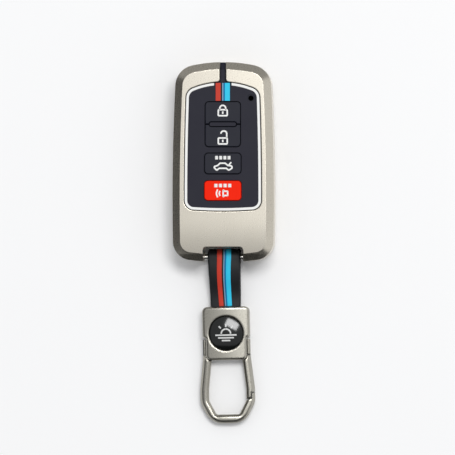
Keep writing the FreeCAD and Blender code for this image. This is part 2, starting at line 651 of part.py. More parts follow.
def build_keypad():
    """Front half of the sleeve: skirt, plate, button field and the rib in the slit."""
    keypad = new_body("keypad_blank")
    skirt = CASE.draw(new_sketch(keypad, "skirt", SKIRT_LOW), SLEEVE_INSET)
    pad(keypad, skirt, f"{SHOULDER} - {SKIRT_LOW}")
    plate_inset = "(sizes.roof_step_inset + sizes.sleeve_fit)"
    plate = CASE.draw(new_sketch(keypad, "plate", SHOULDER), plate_inset)
    pad(keypad, plate, f"{PLATE_TOP} - {SHOULDER}")
    field = WINDOW.draw(new_sketch(keypad, "field", PLATE_TOP), "sizes.ring_gap")
    pad(keypad, field, f"{FIELD_TOP} - {PLATE_TOP}")
    hollow = CASE.draw(new_sketch(keypad, "hollow", KEYPAD_UNDER), HOLLOW_INSET)
    pocket(keypad, hollow, f"{KEYPAD_UNDER} - {SKIRT_LOW}")
    sleeve_chin(keypad, SKIRT_LOW, SHOULDER, PLATE_TOP)

    rib_top = f"({CASE_TOP} - sizes.rib_sink)"
    rib_end = f"({CASE_HIGH_Y} - sizes.rib_end_inset)"
    rib_start = f"({WINDOW_HIGH_Y} - sizes.ring_gap - sizes.ring_width)"
    rib_root = f"({CASE_HIGH_Y} - {HOLLOW_INSET})"
    rib = new_sketch(keypad, "rib", plane="YZ_Plane")
    corners = [
        (rib_start, SHOULDER),
        (rib_root, SHOULDER),
        (rib_root, SKIRT_LOW),
        (rib_end, SKIRT_LOW),
        (rib_end, f"{rib_top} - sizes.facet_depth"),
        (f"{rib_end} - sizes.facet_width", rib_top),
        (f"{WINDOW_HIGH_Y} + sizes.slit_flare", rib_top),
        (rib_start, FIELD_TOP),
    ]
    pad(keypad, draw_profile(rib, corners), "sizes.rib_width", both_ways=True)
    plug_top = f"({rib_top} - sizes.facet_depth - sizes.rib_plug_drop)"
    plug = new_sketch(keypad, "rib_plug", plane="YZ_Plane")
    draw_box(plug, rib_root, rib_end, SKIRT_LOW, plug_top)
    pad(keypad, plug, "sizes.slit_width - 2 * sizes.sleeve_fit", both_ways=True)

    deep = f"({FIELD_TOP} - {KEYPAD_UNDER} + 2 * sizes.cut_overrun)"
    above = f"({FIELD_TOP} + sizes.cut_overrun)"
    room_deep = f"({FLANGE_ROOM} - {KEYPAD_UNDER} + sizes.cut_overrun)"
    holes = [
        ("pair", PAIR_Y, "sizes.pair_cap_width", PAIR_HEIGHT),
        ("trunk", TRUNK_Y, "sizes.trunk_cap_width", TRUNK_CAP),
        ("panic", PANIC_Y, "sizes.panic_cap_width", PANIC_CAP),
    ]
    for name, middle, width, tall in holes:
        hole = cap_box(keypad, f"{name}_hole", above, middle, width, tall, "sizes.cap_groove")
        pocket(keypad, hole, deep)
        room = cap_box(keypad, f"{name}_room", FLANGE_ROOM, middle, width, tall, FLANGE_SPARE)
        pocket(keypad, room, room_deep)
    half = f"(sizes.pair_cap_width / 2 + {FLANGE_SPARE} + sizes.cap_groove)"
    low = f"({PAIR_Y} - sizes.bridge_width / 2)"
    high = f"({PAIR_Y} + sizes.bridge_width / 2)"
    bridge = draw_box(new_sketch(keypad, "bridge", KEYPAD_UNDER), f"-{half}", half, low, high)
    pad(keypad, bridge, f"{BRIDGE_TOP} - {KEYPAD_UNDER}")
    pill = pill_box(keypad, "pill", BRIDGE_TOP, "0")
    pad(keypad, pill, f"{FIELD_TOP} + sizes.pill_rise - {BRIDGE_TOP}")

    channel = new_sketch(keypad, "stripe_channel", above)
    channel_half = f"({STRIPE_HALF} + sizes.ring_fit)"
    draw_box(channel, f"-{channel_half}", channel_half, STRIPE_LOW_Y, WINDOW_HIGH_Y)
    pocket(keypad, channel, "sizes.stripe_channel + sizes.cut_overrun")
    dish = new_sketch(keypad, "sight_dish", above)
    draw_circle(dish, "sizes.sight_hole_side", SIGHT_Y, "sizes.sight_dish / 2")
    pocket(keypad, dish, "sizes.sight_dish_depth + sizes.cut_overrun")
    sight = new_sketch(keypad, "sight_hole", above)
    draw_circle(sight, "sizes.sight_hole_side", SIGHT_Y, "sizes.sight_hole / 2")
    pocket(keypad, sight, deep)

    bed_outer = "sizes.ring_gap - sizes.cut_overrun"
    bed = ring_body("ring_bed", bed_outer, FIELD_INSET, "sizes.ring_fit", FIELD_TOP)
    cut = doc.addObject("Part::Cut", "keypad_cut")
    cut.Base = keypad
    cut.Tool = bed
    return finish(cut, "keypad")


def pill_box(body, name, height, spare):
    """Outline of the pill between the two upper buttons, grown by a spare all round."""
    half = f"(sizes.pill_length / 2 + {spare})"
    thick = f"(sizes.pill_width / 2 + {spare})"
    low = f"({PAIR_Y} - {thick})"
    high = f"({PAIR_Y} + {thick})"
    corner = f"(sizes.pill_corner + {spare})"
    return draw_rounded_box(new_sketch(body, name, height), f"-{half}", half, low, high, corner)


def ring_body(label, outer_inset, inner_inset, gap_spare, top):
    """Open ring that follows the window, with a gap at the top for the stripes."""
    ring = new_body(label)
    pad(ring, WINDOW.draw(new_sketch(ring, "outer", PLATE_TOP), outer_inset), f"{top} - {PLATE_TOP}")
    above = f"({top} + sizes.cut_overrun)"
    through = f"({above} - {PLATE_TOP} + sizes.cut_overrun)"
    pocket(ring, WINDOW.draw(new_sketch(ring, "inner", above), inner_inset), through)
    half = f"({STRIPE_HALF} + sizes.stripe_gap + sizes.ring_fit - {gap_spare})"
    gap = new_sketch(ring, "gap", above)
    draw_box(gap, f"-{half}", half, "0", f"{WINDOW_HIGH_Y} + 2 * sizes.cut_overrun")
    pocket(ring, gap, through)
    return ring


def build_ring():
    """White silicone ring round the button field."""
    ring = ring_body("light_ring", "sizes.ring_gap", "sizes.ring_gap + sizes.ring_width", "0", RING_TOP)
    edges = edge_names(ring.Tip, lambda edge: is_level(edge, value(RING_TOP)))
    soften(ring, "Fillet", edges, Radius="sizes.ring_edge_round")
    return finish(ring)


STRIPES = {
    "red": ("(-sizes.pin_stripe_width / 2 - sizes.stripe_gap - sizes.stripe_width)", "sizes.stripe_width"),
    "pale": ("(-sizes.pin_stripe_width / 2)", "sizes.pin_stripe_width"),
    "blue": ("(sizes.pin_stripe_width / 2 + sizes.stripe_gap)", "sizes.stripe_width"),
}


def build_field_stripes():
    """Three coloured inlays above the upper button."""
    length = f"{WINDOW_HIGH_Y} - sizes.ring_gap - sizes.ring_edge_round - {STRIPE_LOW_Y}"
    for colour, (left, width) in STRIPES.items():
        stripe = doc.addObject("Part::Box", f"field_stripe_{colour}")
        stripe.setExpression("Length", width)
        stripe.setExpression("Width", length)
        stripe.setExpression("Height", "sizes.stripe_channel + sizes.stripe_rise")
        stripe.setExpression("Placement.Base.x", left)
        stripe.setExpression("Placement.Base.y", STRIPE_LOW_Y)
        stripe.setExpression("Placement.Base.z", f"{FIELD_TOP} - sizes.stripe_channel")
        finish(stripe)


def build_button(label, middle, width, tall, pill_side=0):
    """Button cap with a flange under the field and a plunger; pill_side is where the pill lies."""
    button = new_body(label)
    if pill_side:
        centre = f"({middle} - ({pill_side}) * (sizes.pair_groove / 2 + {tall} / 2))"
    else:
        centre = middle
    half = f"({width} / 2 + sizes.flange_margin)"
    low = f"({centre} - {tall} / 2 - sizes.flange_margin)"
    high = f"({centre} + {tall} / 2 + sizes.flange_margin)"
    bridge_clear = "(sizes.bridge_width / 2 + sizes.flange_side_fit)"
    if pill_side > 0:
        high = f"({middle} - {bridge_clear})"
    if pill_side < 0:
        low = f"({middle} + {bridge_clear})"
    flange = new_sketch(button, "flange", FLANGE_LOW)
    draw_rounded_box(flange, f"-{half}", half, low, high, "sizes.flange_corner")
    pad(button, flange, "sizes.flange_depth")
    block = (middle, PAIR_HEIGHT) if pill_side else (centre, tall)
    cap = cap_box(button, "cap", FLANGE_TOP, block[0], width, block[1], "0")
    top = f"({FIELD_TOP} + sizes.cap_rise)"
    pad(button, cap, f"{top} - {FLANGE_TOP}")
    if pill_side:
        above = f"({top} + sizes.cut_overrun)"
        near = f"({middle} - ({pill_side}) * sizes.pair_groove / 2)"
        far = f"({middle} + ({pill_side}) * {PAIR_HEIGHT})"
        ends = (near, far) if pill_side > 0 else (far, near)
        other = draw_box(new_sketch(button, "other_half", above), f"-{width}", width, *ends)
        pocket(button, other, f"{above} - {FLANGE_TOP}")
        room = pill_box(button, "pill_room", above, "sizes.cap_groove")
        pocket(button, room, f"{above} - {FLANGE_LOW} + sizes.cut_overrun")
    plunger = new_sketch(button, "plunger", f"{KEYPAD_UNDER} + sizes.plunger_gap")
    draw_circle(plunger, "0", centre, "sizes.plunger_radius")
    pad(button, plunger, "sizes.press_travel - sizes.plunger_gap")
    edges = edge_names(button.Tip, lambda edge: is_level(edge, value(top)))
    soften(button, "Fillet", edges, Radius="sizes.cap_edge_round")
    return finish(button)


def build_buttons():
    """Lock and unlock share the pill; trunk and panic stand alone."""
    pair = (PAIR_Y, "sizes.pair_cap_width", PAIR_CAP)
    build_button("lock_button", *pair, pill_side=-1)
    build_button("unlock_button", *pair, pill_side=1)
    build_button("trunk_button", TRUNK_Y, "sizes.trunk_cap_width", TRUNK_CAP)
    build_button("panic_button", PANIC_Y, "sizes.panic_cap_width", PANIC_CAP)


# The strap's side view: over the bar, level, down in two equal bends, level again into the clasp
HALF_STRAP = "(sizes.strap_thickness / 2)"
STRAP_HIGH = f"(sizes.bar_height + {EYE_RADIUS} - {HALF_STRAP})"
STRAP_LOW = f"(sizes.clasp_back + sizes.strap_fit + {HALF_STRAP})"
BEND_COS = f"(1 - ({STRAP_HIGH} - {STRAP_LOW}) / (2 * sizes.strap_bend_radius))"
BEND_SIN = f"sqrt(1 - {BEND_COS} ^ 2)"
BEND_START_Y = f"({CASE_LOW_Y} - sizes.strap_bend_below)"
BEND_END_Y = f"({BEND_START_Y} - 2 * sizes.strap_bend_radius * {BEND_SIN})"
STRAP_END_Y = f"({CLASP_TOP_Y} - sizes.strap_tongue)"


def bend_middle(offset):
    """Point where the two bends meet, on the line that lies an offset above the strap's middle."""
    reach = f"(sizes.strap_bend_radius + {offset})"
    return (f"{BEND_START_Y} - {reach} * {BEND_SIN}",
            f"{STRAP_HIGH} - sizes.strap_bend_radius + {reach} * {BEND_COS}")


def build_strap():
    """Silicone strap, moulded in one piece with its eye."""
    strap = new_body("strap")
    side = new_sketch(strap, "side", plane="YZ_Plane")
    eye_cut = f"sqrt({EYE_RADIUS} ^ 2 - ({EYE_RADIUS} - sizes.strap_thickness) ^ 2)"
    corners = [
        (STRAP_END_Y, f"{STRAP_LOW} + {HALF_STRAP}"),
        (BEND_END_Y, f"{STRAP_LOW} + {HALF_STRAP}"),
        bend_middle(HALF_STRAP),
        (BEND_START_Y, f"{STRAP_HIGH} + {HALF_STRAP}"),
        (BAR_Y, f"{STRAP_HIGH} + {HALF_STRAP}"),
        (f"{BAR_Y} + {EYE_RADIUS}", "sizes.bar_height"),
        (f"{BAR_Y} - {eye_cut}", f"{STRAP_HIGH} - {HALF_STRAP}"),
        (BEND_START_Y, f"{STRAP_HIGH} - {HALF_STRAP}"),
        bend_middle(f"(-{HALF_STRAP})"),
        (BEND_END_Y, f"{STRAP_LOW} - {HALF_STRAP}"),
        (STRAP_END_Y, f"{STRAP_LOW} - {HALF_STRAP}"),
    ]
    outer = f"(sizes.strap_bend_radius + {HALF_STRAP})"
    inner = f"(sizes.strap_bend_radius - {HALF_STRAP})"
    radii = {1: inner, 2: f"-{outer}", 4: f"-{EYE_RADIUS}", 5: f"-{EYE_RADIUS}", 7: inner, 8: f"-{outer}"}
    pad(strap, draw_profile(side, corners, radii), "sizes.strap_width", both_ways=True)
    bore = new_sketch(strap, "bore", plane="YZ_Plane")
    draw_circle(bore, BAR_Y, "sizes.bar_height", "sizes.bar_radius + sizes.eye_fit")
    pocket(strap, bore, "sizes.strap_width + 2 * sizes.cut_overrun", both_ways=True)
    hole = new_sketch(strap, "dowel_hole", SLOT_TOP)
    draw_circle(hole, "0", DOWEL_Y, "sizes.dowel_radius + sizes.strap_fit")
    pocket(strap, hole, "sizes.strap_thickness + sizes.cut_overrun")
    return finish(strap, leans=True)


def build_strap_stripes():
    """Three raised stripes down the front of the strap, from the eye to the clasp."""
    low = HALF_STRAP
    high = f"({HALF_STRAP} + sizes.stripe_rise)"
    share = "sizes.stripe_wrap_share"
    wrap_cos = f"sqrt(1 - {share} ^ 2)"
    eye_outer = f"({EYE_RADIUS} + sizes.stripe_rise)"
    end = f"({CLASP_TOP_Y} + sizes.stripe_end_gap)"
    corners = [
        (end, f"{STRAP_LOW} + {low}"),
        (BEND_END_Y, f"{STRAP_LOW} + {low}"),
        bend_middle(low),
        (BEND_START_Y, f"{STRAP_HIGH} + {low}"),
        (BAR_Y, f"{STRAP_HIGH} + {low}"),
        (f"{BAR_Y} + {EYE_RADIUS} * {wrap_cos}", f"sizes.bar_height + {EYE_RADIUS} * {share}"),
        (f"{BAR_Y} + {eye_outer} * {wrap_cos}", f"sizes.bar_height + {eye_outer} * {share}"),
        (BAR_Y, f"{STRAP_HIGH} + {high}"),
        (BEND_START_Y, f"{STRAP_HIGH} + {high}"),
        bend_middle(high),
        (BEND_END_Y, f"{STRAP_LOW} + {high}"),
        (end, f"{STRAP_LOW} + {high}"),
    ]
    radii = {
        1: f"(sizes.strap_bend_radius - {low})",
        2: f"-(sizes.strap_bend_radius + {low})",
        4: f"-{EYE_RADIUS}",
        6: eye_outer,
        8: f"(sizes.strap_bend_radius + {high})",
        9: f"-(sizes.strap_bend_radius - {high})",
    }
    for colour, (left, width) in STRIPES.items():
        stripe = new_body(f"strap_stripe_{colour}")
        pad(stripe, draw_profile(new_sketch(stripe, "side", left, "YZ_Plane"), corners, radii), width)
        finish(stripe, leans=True)


def clasp_outline(sketch, spare="0"):
    """Outline of the clasp's cover: wide above, bevelled shoulders, a narrower neck with round corners."""
    wide = f"(sizes.clasp_width / 2 + {spare})"
    neck = f"(sizes.clasp_neck_width / 2 + {spare})"
    top = f"({CLASP_TOP_Y} + {spare})"
    shoulder = f"({CLASP_TOP_Y} - sizes.clasp_shoulder - {spare})"
    bevel_end = f"({shoulder} - sizes.clasp_shoulder_bevel)"
    end = f"({CLASP_END_Y} - {spare})"
    corner = f"(sizes.clasp_corner + {spare})"
    corners = [
        (f"-{neck} + {corner}", end),
        (f"{neck} - {corner}", end),
        (neck, f"{end} + {corner}"),
        (neck, bevel_end),
        (wide, shoulder),
        (wide, f"{top} - {corner}"),
        (f"{wide} - {corner}", top),
        (f"-{wide} + {corner}", top),
        (f"-{wide}", f"{top} - {corner}"),
        (f"-{wide}", shoulder),
        (f"-{neck}", bevel_end),
        (f"-{neck}", f"{end} + {corner}"),
    ]
    return draw_profile(sketch, corners, {1: corner, 5: corner, 7: corner, 11: corner})


def hook_bar(body):
    """Bar of the hook and gate before they are parted, with bevelled edges."""
    top = CORNER_Y
    wide = f"({CLASP_END_Y} - sizes.hook_wide_below)"
    knee = f"({CLASP_END_Y} - sizes.hook_knee_below)"
    inner_knee = f"({CLASP_END_Y} - sizes.hook_inner_knee_below)"
    right_side = [
        ("sizes.hook_foot_half", HOOK_FOOT_Y),
        ("sizes.hook_wide_half", knee),
        ("sizes.hook_wide_half", wide),
        ("sizes.hook_top_half", top),
        ("(sizes.hook_top_half - sizes.hook_bar_width)", top),
        ("(sizes.hook_wide_half - sizes.hook_bar_width)", wide),
        ("(sizes.hook_wide_half - sizes.hook_bar_width)", inner_knee),
        ("sizes.hook_inner_foot_half", HOOK_INNER_FOOT_Y),
    ]
    left_side = [(f"-{x}", y) for x, y in reversed(right_side)]
    pad(body, draw_profile(new_sketch(body, "bar"), right_side + left_side), "sizes.hook_bar_depth")
    end_level = value(top)

    def rounded(inside):
        def wanted(edge):
            middle = edge.CenterOfMass
            reach = value("sizes.hook_wide_half - sizes.hook_bar_width")
            deep = value(HOOK_INNER_FOOT_Y)
            is_inside = abs(middle.x) < reach + NEAR and middle.y > deep - NEAR
            return is_upright(edge) and middle.y < end_level - NEAR and is_inside == inside
        return wanted

    soften(body, "Fillet", edge_names(body.Tip, rounded(False)), Radius="sizes.hook_outer_round")
    soften(body, "Fillet", edge_names(body.Tip, rounded(True)), Radius="sizes.hook_inner_round")

    def rim(height):
        return lambda edge: is_level(edge, height) and edge.BoundBox.YMin < end_level - NEAR

    front = edge_names(body.Tip, rim(value("sizes.hook_bar_depth")))
    soften(body, "Chamfer", front, Size="sizes.hook_front_bevel")
    back = edge_names(body.Tip, rim(0))
    soften(body, "Chamfer", back, Size="sizes.hook_back_bevel")


def split_line(gap):
    """Stepped line between gate and hook nose, from the outside in; the gap moves it off the gate."""
    middle = f"(sizes.hook_wide_half - sizes.gate_split_inset + {gap})"
    high = f"({CLASP_END_Y} - sizes.gate_split_high - {gap})"
    low = f"({CLASP_END_Y} - sizes.gate_split_low - {gap})"
    outside = "(sizes.hook_wide_half + sizes.gate_split_inset)"
    inside = "(sizes.hook_wide_half - sizes.hook_bar_width - sizes.gate_split_inset)"
    return [
        (outside, f"{high} + sizes.gate_split_slope"),
        (middle, f"{high} - sizes.gate_split_slope / 2"),
        (middle, f"{low} + sizes.gate_split_slope / 2"),
        (inside, f"{low} - sizes.gate_split_slope"),
    ]


ABOVE_BAR = "(sizes.hook_bar_depth + sizes.cut_overrun)"
THROUGH_BAR = "(sizes.hook_bar_depth + 2 * sizes.cut_overrun)"


def round_hole(body, name, x, y, radius, high, low):
    """Round hole between two heights."""
    pocket(body, draw_circle(new_sketch(body, name, high), x, y, radius), f"{high} - ({low})")


LEFT_PIVOT_X = f"(-{PIVOT_X})"
SCREW_PLACES = {
    "left": ("(-sizes.screw_side)", f"({CLASP_TOP_Y} - sizes.screw_inset)"),
    "right": ("sizes.screw_side", f"({CLASP_TOP_Y} - sizes.screw_inset)"),
    "low": (LEFT_PIVOT_X, CORNER_Y),
}
SCREW_HEAD_TOP = "(sizes.screw_head_sink + sizes.screw_head_depth)"
BELOW = "-sizes.cut_overrun"
PIN_BORE = "sizes.pin_radius + sizes.screw_fit"
WIRE_RADIUS = "(sizes.spring_wire / 2)"


def build_hook_frame():
    """Back plate of the clasp, its side rails, and the hook as far as its nose."""
    frame = new_body("hook_frame")
    hook_bar(frame)
    zone = split_line("sizes.gate_split_gap")
    above = f"({CORNER_Y} + sizes.cut_overrun)"
    zone += [("0", zone[-1][1]), ("0", above), (zone[0][0], above)]
    pocket(frame, draw_profile(new_sketch(frame, "gate_zone", ABOVE_BAR), zone), THROUGH_BAR)
    neck_room = clasp_outline(new_sketch(frame, "neck_room", ABOVE_BAR), "sizes.clasp_gap")
    pocket(frame, neck_room, f"{ABOVE_BAR} - sizes.clasp_back")
    pad(frame, clasp_outline(new_sketch(frame, "plate")), "sizes.clasp_back")
    outer = "(sizes.clasp_width / 2)"
    inner = "(sizes.clasp_neck_width / 2 + sizes.clasp_gap)"
    root = "(sizes.clasp_neck_width / 2 - sizes.clasp_gap)"
    shoulder = f"({CLASP_TOP_Y} - sizes.clasp_shoulder - sizes.clasp_shoulder_bevel)"
    rail_top = f"({shoulder} - 2 * sizes.clasp_gap)"
    for name, sign in (("left", "-"), ("right", "")):
        near, far = f"{sign}{root}", f"{sign}{outer}"
        ledge = draw_box(new_sketch(frame, f"{name}_ledge"), near, far, CORNER_Y, rail_top)
        pad(frame, ledge, "sizes.clasp_back")
        rail = draw_box(new_sketch(frame, f"{name}_rail"), f"{sign}{inner}", far, CORNER_Y, rail_top)
        pad(frame, rail, "sizes.hook_bar_depth")
    over = "(sizes.clasp_back + sizes.cut_overrun)"
    head = "sizes.screw_head_radius + sizes.screw_fit"
    for name, (x, y) in SCREW_PLACES.items():
        round_hole(frame, f"{name}_screw", x, y, "sizes.screw_radius + sizes.screw_fit", over, BELOW)
        round_hole(frame, f"{name}_head", x, y, head, SCREW_HEAD_TOP, BELOW)
    round_hole(frame, "pin_hole", PIVOT_X, CORNER_Y, PIN_BORE, over, BELOW)
    rivet = "sizes.pin_head_radius + sizes.screw_fit"
    round_hole(frame, "pin_head", PIVOT_X, CORNER_Y, rivet, "sizes.pin_head_depth", BELOW)
    dowel = "sizes.dowel_radius + sizes.screw_fit"
    round_hole(frame, "dowel_hole", "0", DOWEL_Y, dowel, over, "sizes.dowel_floor")
    return finish(frame, leans=True)


def build_clasp_cover():
    """Front of the clasp, with the strap's slot, the badge's recess and room for the gate's knuckle."""
    cover = new_body("clasp_cover")
    pad(cover, clasp_outline(new_sketch(cover, "outline", "sizes.clasp_back")), "sizes.cover_depth")
    rim = edge_names(cover.Tip, lambda edge: is_level(edge, value(CLASP_FRONT)))
    soften(cover, "Chamfer", rim, Size="sizes.cover_bevel")
    half = "(sizes.strap_width / 2 + sizes.strap_fit)"
    slot = new_sketch(cover, "slot", SLOT_TOP)
    slot_end = f"({STRAP_END_Y} - sizes.slot_end_gap)"
    draw_box(slot, f"-{half}", half, slot_end, f"{CLASP_TOP_Y} + sizes.cut_overrun")
    pocket(cover, slot, f"{SLOT_TOP} - sizes.clasp_back")
    above = f"({CLASP_FRONT} + sizes.cut_overrun)"
    recess = "sizes.badge_radius + sizes.badge_fit"
    round_hole(cover, "badge_recess", "0", BADGE_Y, recess, above, BADGE_FLOOR)
    front, seat_radius = value(CLASP_FRONT), value(recess)
    lip = edge_names(cover.Tip, lambda edge: is_level(edge, front) and is_round(edge, seat_radius))
    soften(cover, "Chamfer", lip, Size="sizes.badge_seat_bevel")
    room = "sizes.link_reach + sizes.knuckle_fit"
    round_hole(cover, "knuckle_room", PIVOT_X, CORNER_Y, room, KNUCKLE_ROOM, "sizes.clasp_back")
    coil = f"sizes.spring_radius + {WIRE_RADIUS} + 2 * sizes.pin_fit"
    round_hole(cover, "spring_room", PIVOT_X, CORNER_Y, coil, SPRING_ROOM, "sizes.clasp_back")
    round_hole(cover, "pin_hole", PIVOT_X, CORNER_Y, PIN_BORE, PIN_END, "sizes.clasp_back")
    leg_x, leg_y = spring_leg_place("sizes.spring_turns")
    leg = f"{WIRE_RADIUS} + sizes.pin_fit"
    leg_end = f"({SPRING_ROOM} + sizes.spring_leg)"
    round_hole(cover, "leg_hole", leg_x, leg_y, leg, leg_end, "sizes.clasp_back")
    screw_end = "(sizes.clasp_back + sizes.screw_reach + sizes.screw_fit)"
    bore = "sizes.screw_radius + sizes.bar_seat_fit"
    for name, (x, y) in SCREW_PLACES.items():
        round_hole(cover, f"{name}_screw", x, y, bore, screw_end, "sizes.clasp_back")
    return finish(cover, leans=True)


def spring_leg_place(turns):
    """Place of the spring's wire after a number of turns, which start towards +X."""
    return (f"({PIVOT_X} + sizes.spring_radius * cos(360 deg * {turns}))",
            f"({CORNER_Y} + sizes.spring_radius * sin(360 deg * {turns}))")


def build_gate():
    """Sprung gate: the right arm of the hook, with a knuckle between back plate and cover."""
    gate = new_body("gate")
    hook_bar(gate)
    rest = split_line("0")
    top = f"({CORNER_Y} - sizes.clasp_gap)"
    above = f"({CORNER_Y} + sizes.cut_overrun)"
    below = f"({HOOK_FOOT_Y} - sizes.cut_overrun)"
    far = f"({rest[0][0]} + sizes.cut_overrun)"
    rest += [("0", rest[-1][1]), ("0", top), (far, top), (far, above)]
    rest += [(f"-{far}", above), (f"-{far}", below), (rest[0][0], below)]
    pocket(gate, draw_profile(new_sketch(gate, "hook_zone", ABOVE_BAR), rest), THROUGH_BAR)
    neck_room = clasp_outline(new_sketch(gate, "neck_room", ABOVE_BAR), "sizes.clasp_gap")
    pocket(gate, neck_room, THROUGH_BAR)
    link = new_sketch(gate, "link", KNUCKLE_LOW)
    reach = "sizes.link_reach"
    side = "sizes.link_side"
    corners = [
        (PIVOT_X, CORNER_Y),
        (f"{PIVOT_X} + {side}", f"{CORNER_Y} - {reach}"),
        (f"{PIVOT_X} + {reach}", f"{CORNER_Y} - {reach}"),
        (f"{PIVOT_X} + {reach}", f"{CORNER_Y} - {side}"),
    ]
    pad(gate, draw_profile(link, corners), "sizes.knuckle_depth")
    knuckle = new_sketch(gate, "knuckle", KNUCKLE_LOW)
    draw_circle(knuckle, PIVOT_X, CORNER_Y, "sizes.knuckle_radius")
    pad(gate, knuckle, "sizes.knuckle_depth")
    over = f"({KNUCKLE_TOP} + sizes.cut_overrun)"
    under = f"({KNUCKLE_LOW} - sizes.cut_overrun)"
    round_hole(gate, "pin_hole", PIVOT_X, CORNER_Y, "sizes.pin_radius + sizes.pin_fit", over, under)
    leg_x, leg_y = spring_leg_place("0")
    leg = f"{WIRE_RADIUS} + sizes.pin_fit"
    round_hole(gate, "leg_hole", leg_x, leg_y, leg, over, f"{KNUCKLE_TOP} - sizes.spring_leg")
    return finish(gate, leans=True)


def cylinder(name, x, y, low, high, radius):
    """Upright cylinder between two heights."""
    item = doc.addObject("Part::Cylinder", name)
    item.setExpression("Radius", radius)
    item.setExpression("Height", f"{high} - ({low})")
    item.setExpression("Placement.Base.x", x)
    item.setExpression("Placement.Base.y", y)
    item.setExpression("Placement.Base.z", low)
    return item


def round_plug(label, x, y, radius, low, high):
    """Body of one upright cylinder between two heights."""
    plug = new_body(label)
    pad(plug, draw_circle(new_sketch(plug, "section", low), x, y, radius), f"{high} - ({low})")
    return plug


def fused(name, pieces):
    """One solid from several that overlap."""
    joined = doc.addObject("Part::MultiFuse", name)
    joined.Shapes = pieces
    return joined


def build_gate_pin():
    """Rivet that the gate turns on, with its head sunk in the back plate."""
    head = cylinder("pin_head", PIVOT_X, CORNER_Y, "0", "sizes.pin_head_depth", "sizes.pin_head_radius")
    shank = cylinder("pin_shank", PIVOT_X, CORNER_Y, "0", PIN_END, "sizes.pin_radius")
    return finish(fused("pin_fused", [head, shank]), "gate_pin", leans=True)


def build_gate_spring():
    """Torsion spring round the pin; one leg enters the knuckle and the other the cover."""
    base = f"({KNUCKLE_ROOM} + {WIRE_RADIUS})"
    coil = doc.addObject("Part::Helix", "spring_line")
    coil.setExpression("Pitch", "sizes.spring_pitch")
    coil.setExpression("Height", "sizes.spring_pitch * sizes.spring_turns")
    coil.setExpression("Radius", "sizes.spring_radius")
    coil.setExpression("Placement.Base.x", PIVOT_X)
    coil.setExpression("Placement.Base.y", CORNER_Y)
    coil.setExpression("Placement.Base.z", base)
    section = doc.addObject("Part::Circle", "spring_section")
    section.setExpression("Radius", WIRE_RADIUS)
    section.Placement.Rotation = FreeCAD.Rotation(FreeCAD.Vector(1, 0, 0), 90)
    section.setExpression("Placement.Base.x", f"{PIVOT_X} + sizes.spring_radius")
    section.setExpression("Placement.Base.y", CORNER_Y)
    section.setExpression("Placement.Base.z", base)
    turns = doc.addObject("Part::Sweep", "spring_coil")
    turns.Sections = [section]
    turns.Spine = (coil, ["Edge1"])
    turns.Solid = True
    turns.Frenet = True
    low_x, low_y = spring_leg_place("0")
    high_x, high_y = spring_leg_place("sizes.spring_turns")
    low_end = f"{KNUCKLE_ROOM} - sizes.spring_leg"
    low_leg = cylinder("spring_low_leg", low_x, low_y, low_end, base, WIRE_RADIUS)
    top = f"({base} + sizes.spring_pitch * sizes.spring_turns)"
    high_end = f"{SPRING_ROOM} + sizes.spring_leg / 2"
    high_leg = cylinder("spring_high_leg", high_x, high_y, top, high_end, WIRE_RADIUS)
    return finish(fused("spring_fused", [turns, low_leg, high_leg]), "gate_spring", leans=True)


def build_screws():
    """Three slotted screws from the back, as one group."""
    screws = []
    for name, (x, y) in SCREW_PLACES.items():
        sink = "sizes.screw_head_sink"
        head = cylinder(f"screw_head_{name}", x, y, sink, SCREW_HEAD_TOP, "sizes.screw_head_radius")
        end = "(sizes.clasp_back + sizes.screw_reach)"
        shank = cylinder(f"screw_shank_{name}", x, y, sink, end, "sizes.screw_radius")
        slot = doc.addObject("Part::Box", f"screw_slot_{name}")
        slot.setExpression("Length", "2 * sizes.screw_head_radius + 2 * sizes.cut_overrun")
        slot.setExpression("Width", "sizes.screw_slot_width")
        slot.setExpression("Height", "sizes.screw_slot_depth + sizes.cut_overrun")
        slot.setExpression("Placement.Base.x", f"{x} - sizes.screw_head_radius - sizes.cut_overrun")
        slot.setExpression("Placement.Base.y", f"{y} - sizes.screw_slot_width / 2")
        slot.setExpression("Placement.Base.z", "sizes.screw_head_sink - sizes.cut_overrun")
        screw = doc.addObject("Part::Cut", f"screw_{name}")
        screw.Base = fused(f"screw_blank_{name}", [head, shank])
        screw.Tool = slot
        screws.append(screw)
    group = doc.addObject("Part::Compound", "screw_group")
    group.Links = screws
    return finish(group, "clasp_screws", leans=True)


def build_dowel():
    """Dowel that holds the strap's tongue in the clasp."""
    top = f"({SLOT_TOP} - sizes.slot_roof_fit)"
    dowel = round_plug("strap_dowel", "0", DOWEL_Y, "sizes.dowel_radius", "sizes.dowel_floor", top)
    return finish(dowel, leans=True)


def build_badge():
    """Black disc in the cover's recess, under a clear resin dome."""
    disc_top = f"({BADGE_FLOOR} + sizes.badge_disc_depth)"
    radius = "sizes.badge_radius"
    disc = round_plug("badge_disc", "0", BADGE_Y, radius, BADGE_FLOOR, disc_top)
    finish(disc, leans=True)
    dome = new_body("badge_dome")
    side = new_sketch(dome, "side", f"-{BADGE_Y}", "XZ_Plane")
    rim = f"({disc_top} + sizes.dome_rim)"
    crown = f"(({radius} ^ 2 + sizes.dome_crown ^ 2) / (2 * sizes.dome_crown))"
    corners = [("0", disc_top), (radius, disc_top), (radius, rim), ("0", f"{rim} + sizes.dome_crown")]
    draw_profile(side, corners, {2: crown})
    turn = dome.newObject("PartDesign::Revolution", "dome_turn")
    turn.Profile = side
    turn.ReferenceAxis = (side, ["V_Axis"])
    doc.recompute()
    return finish(dome, leans=True)


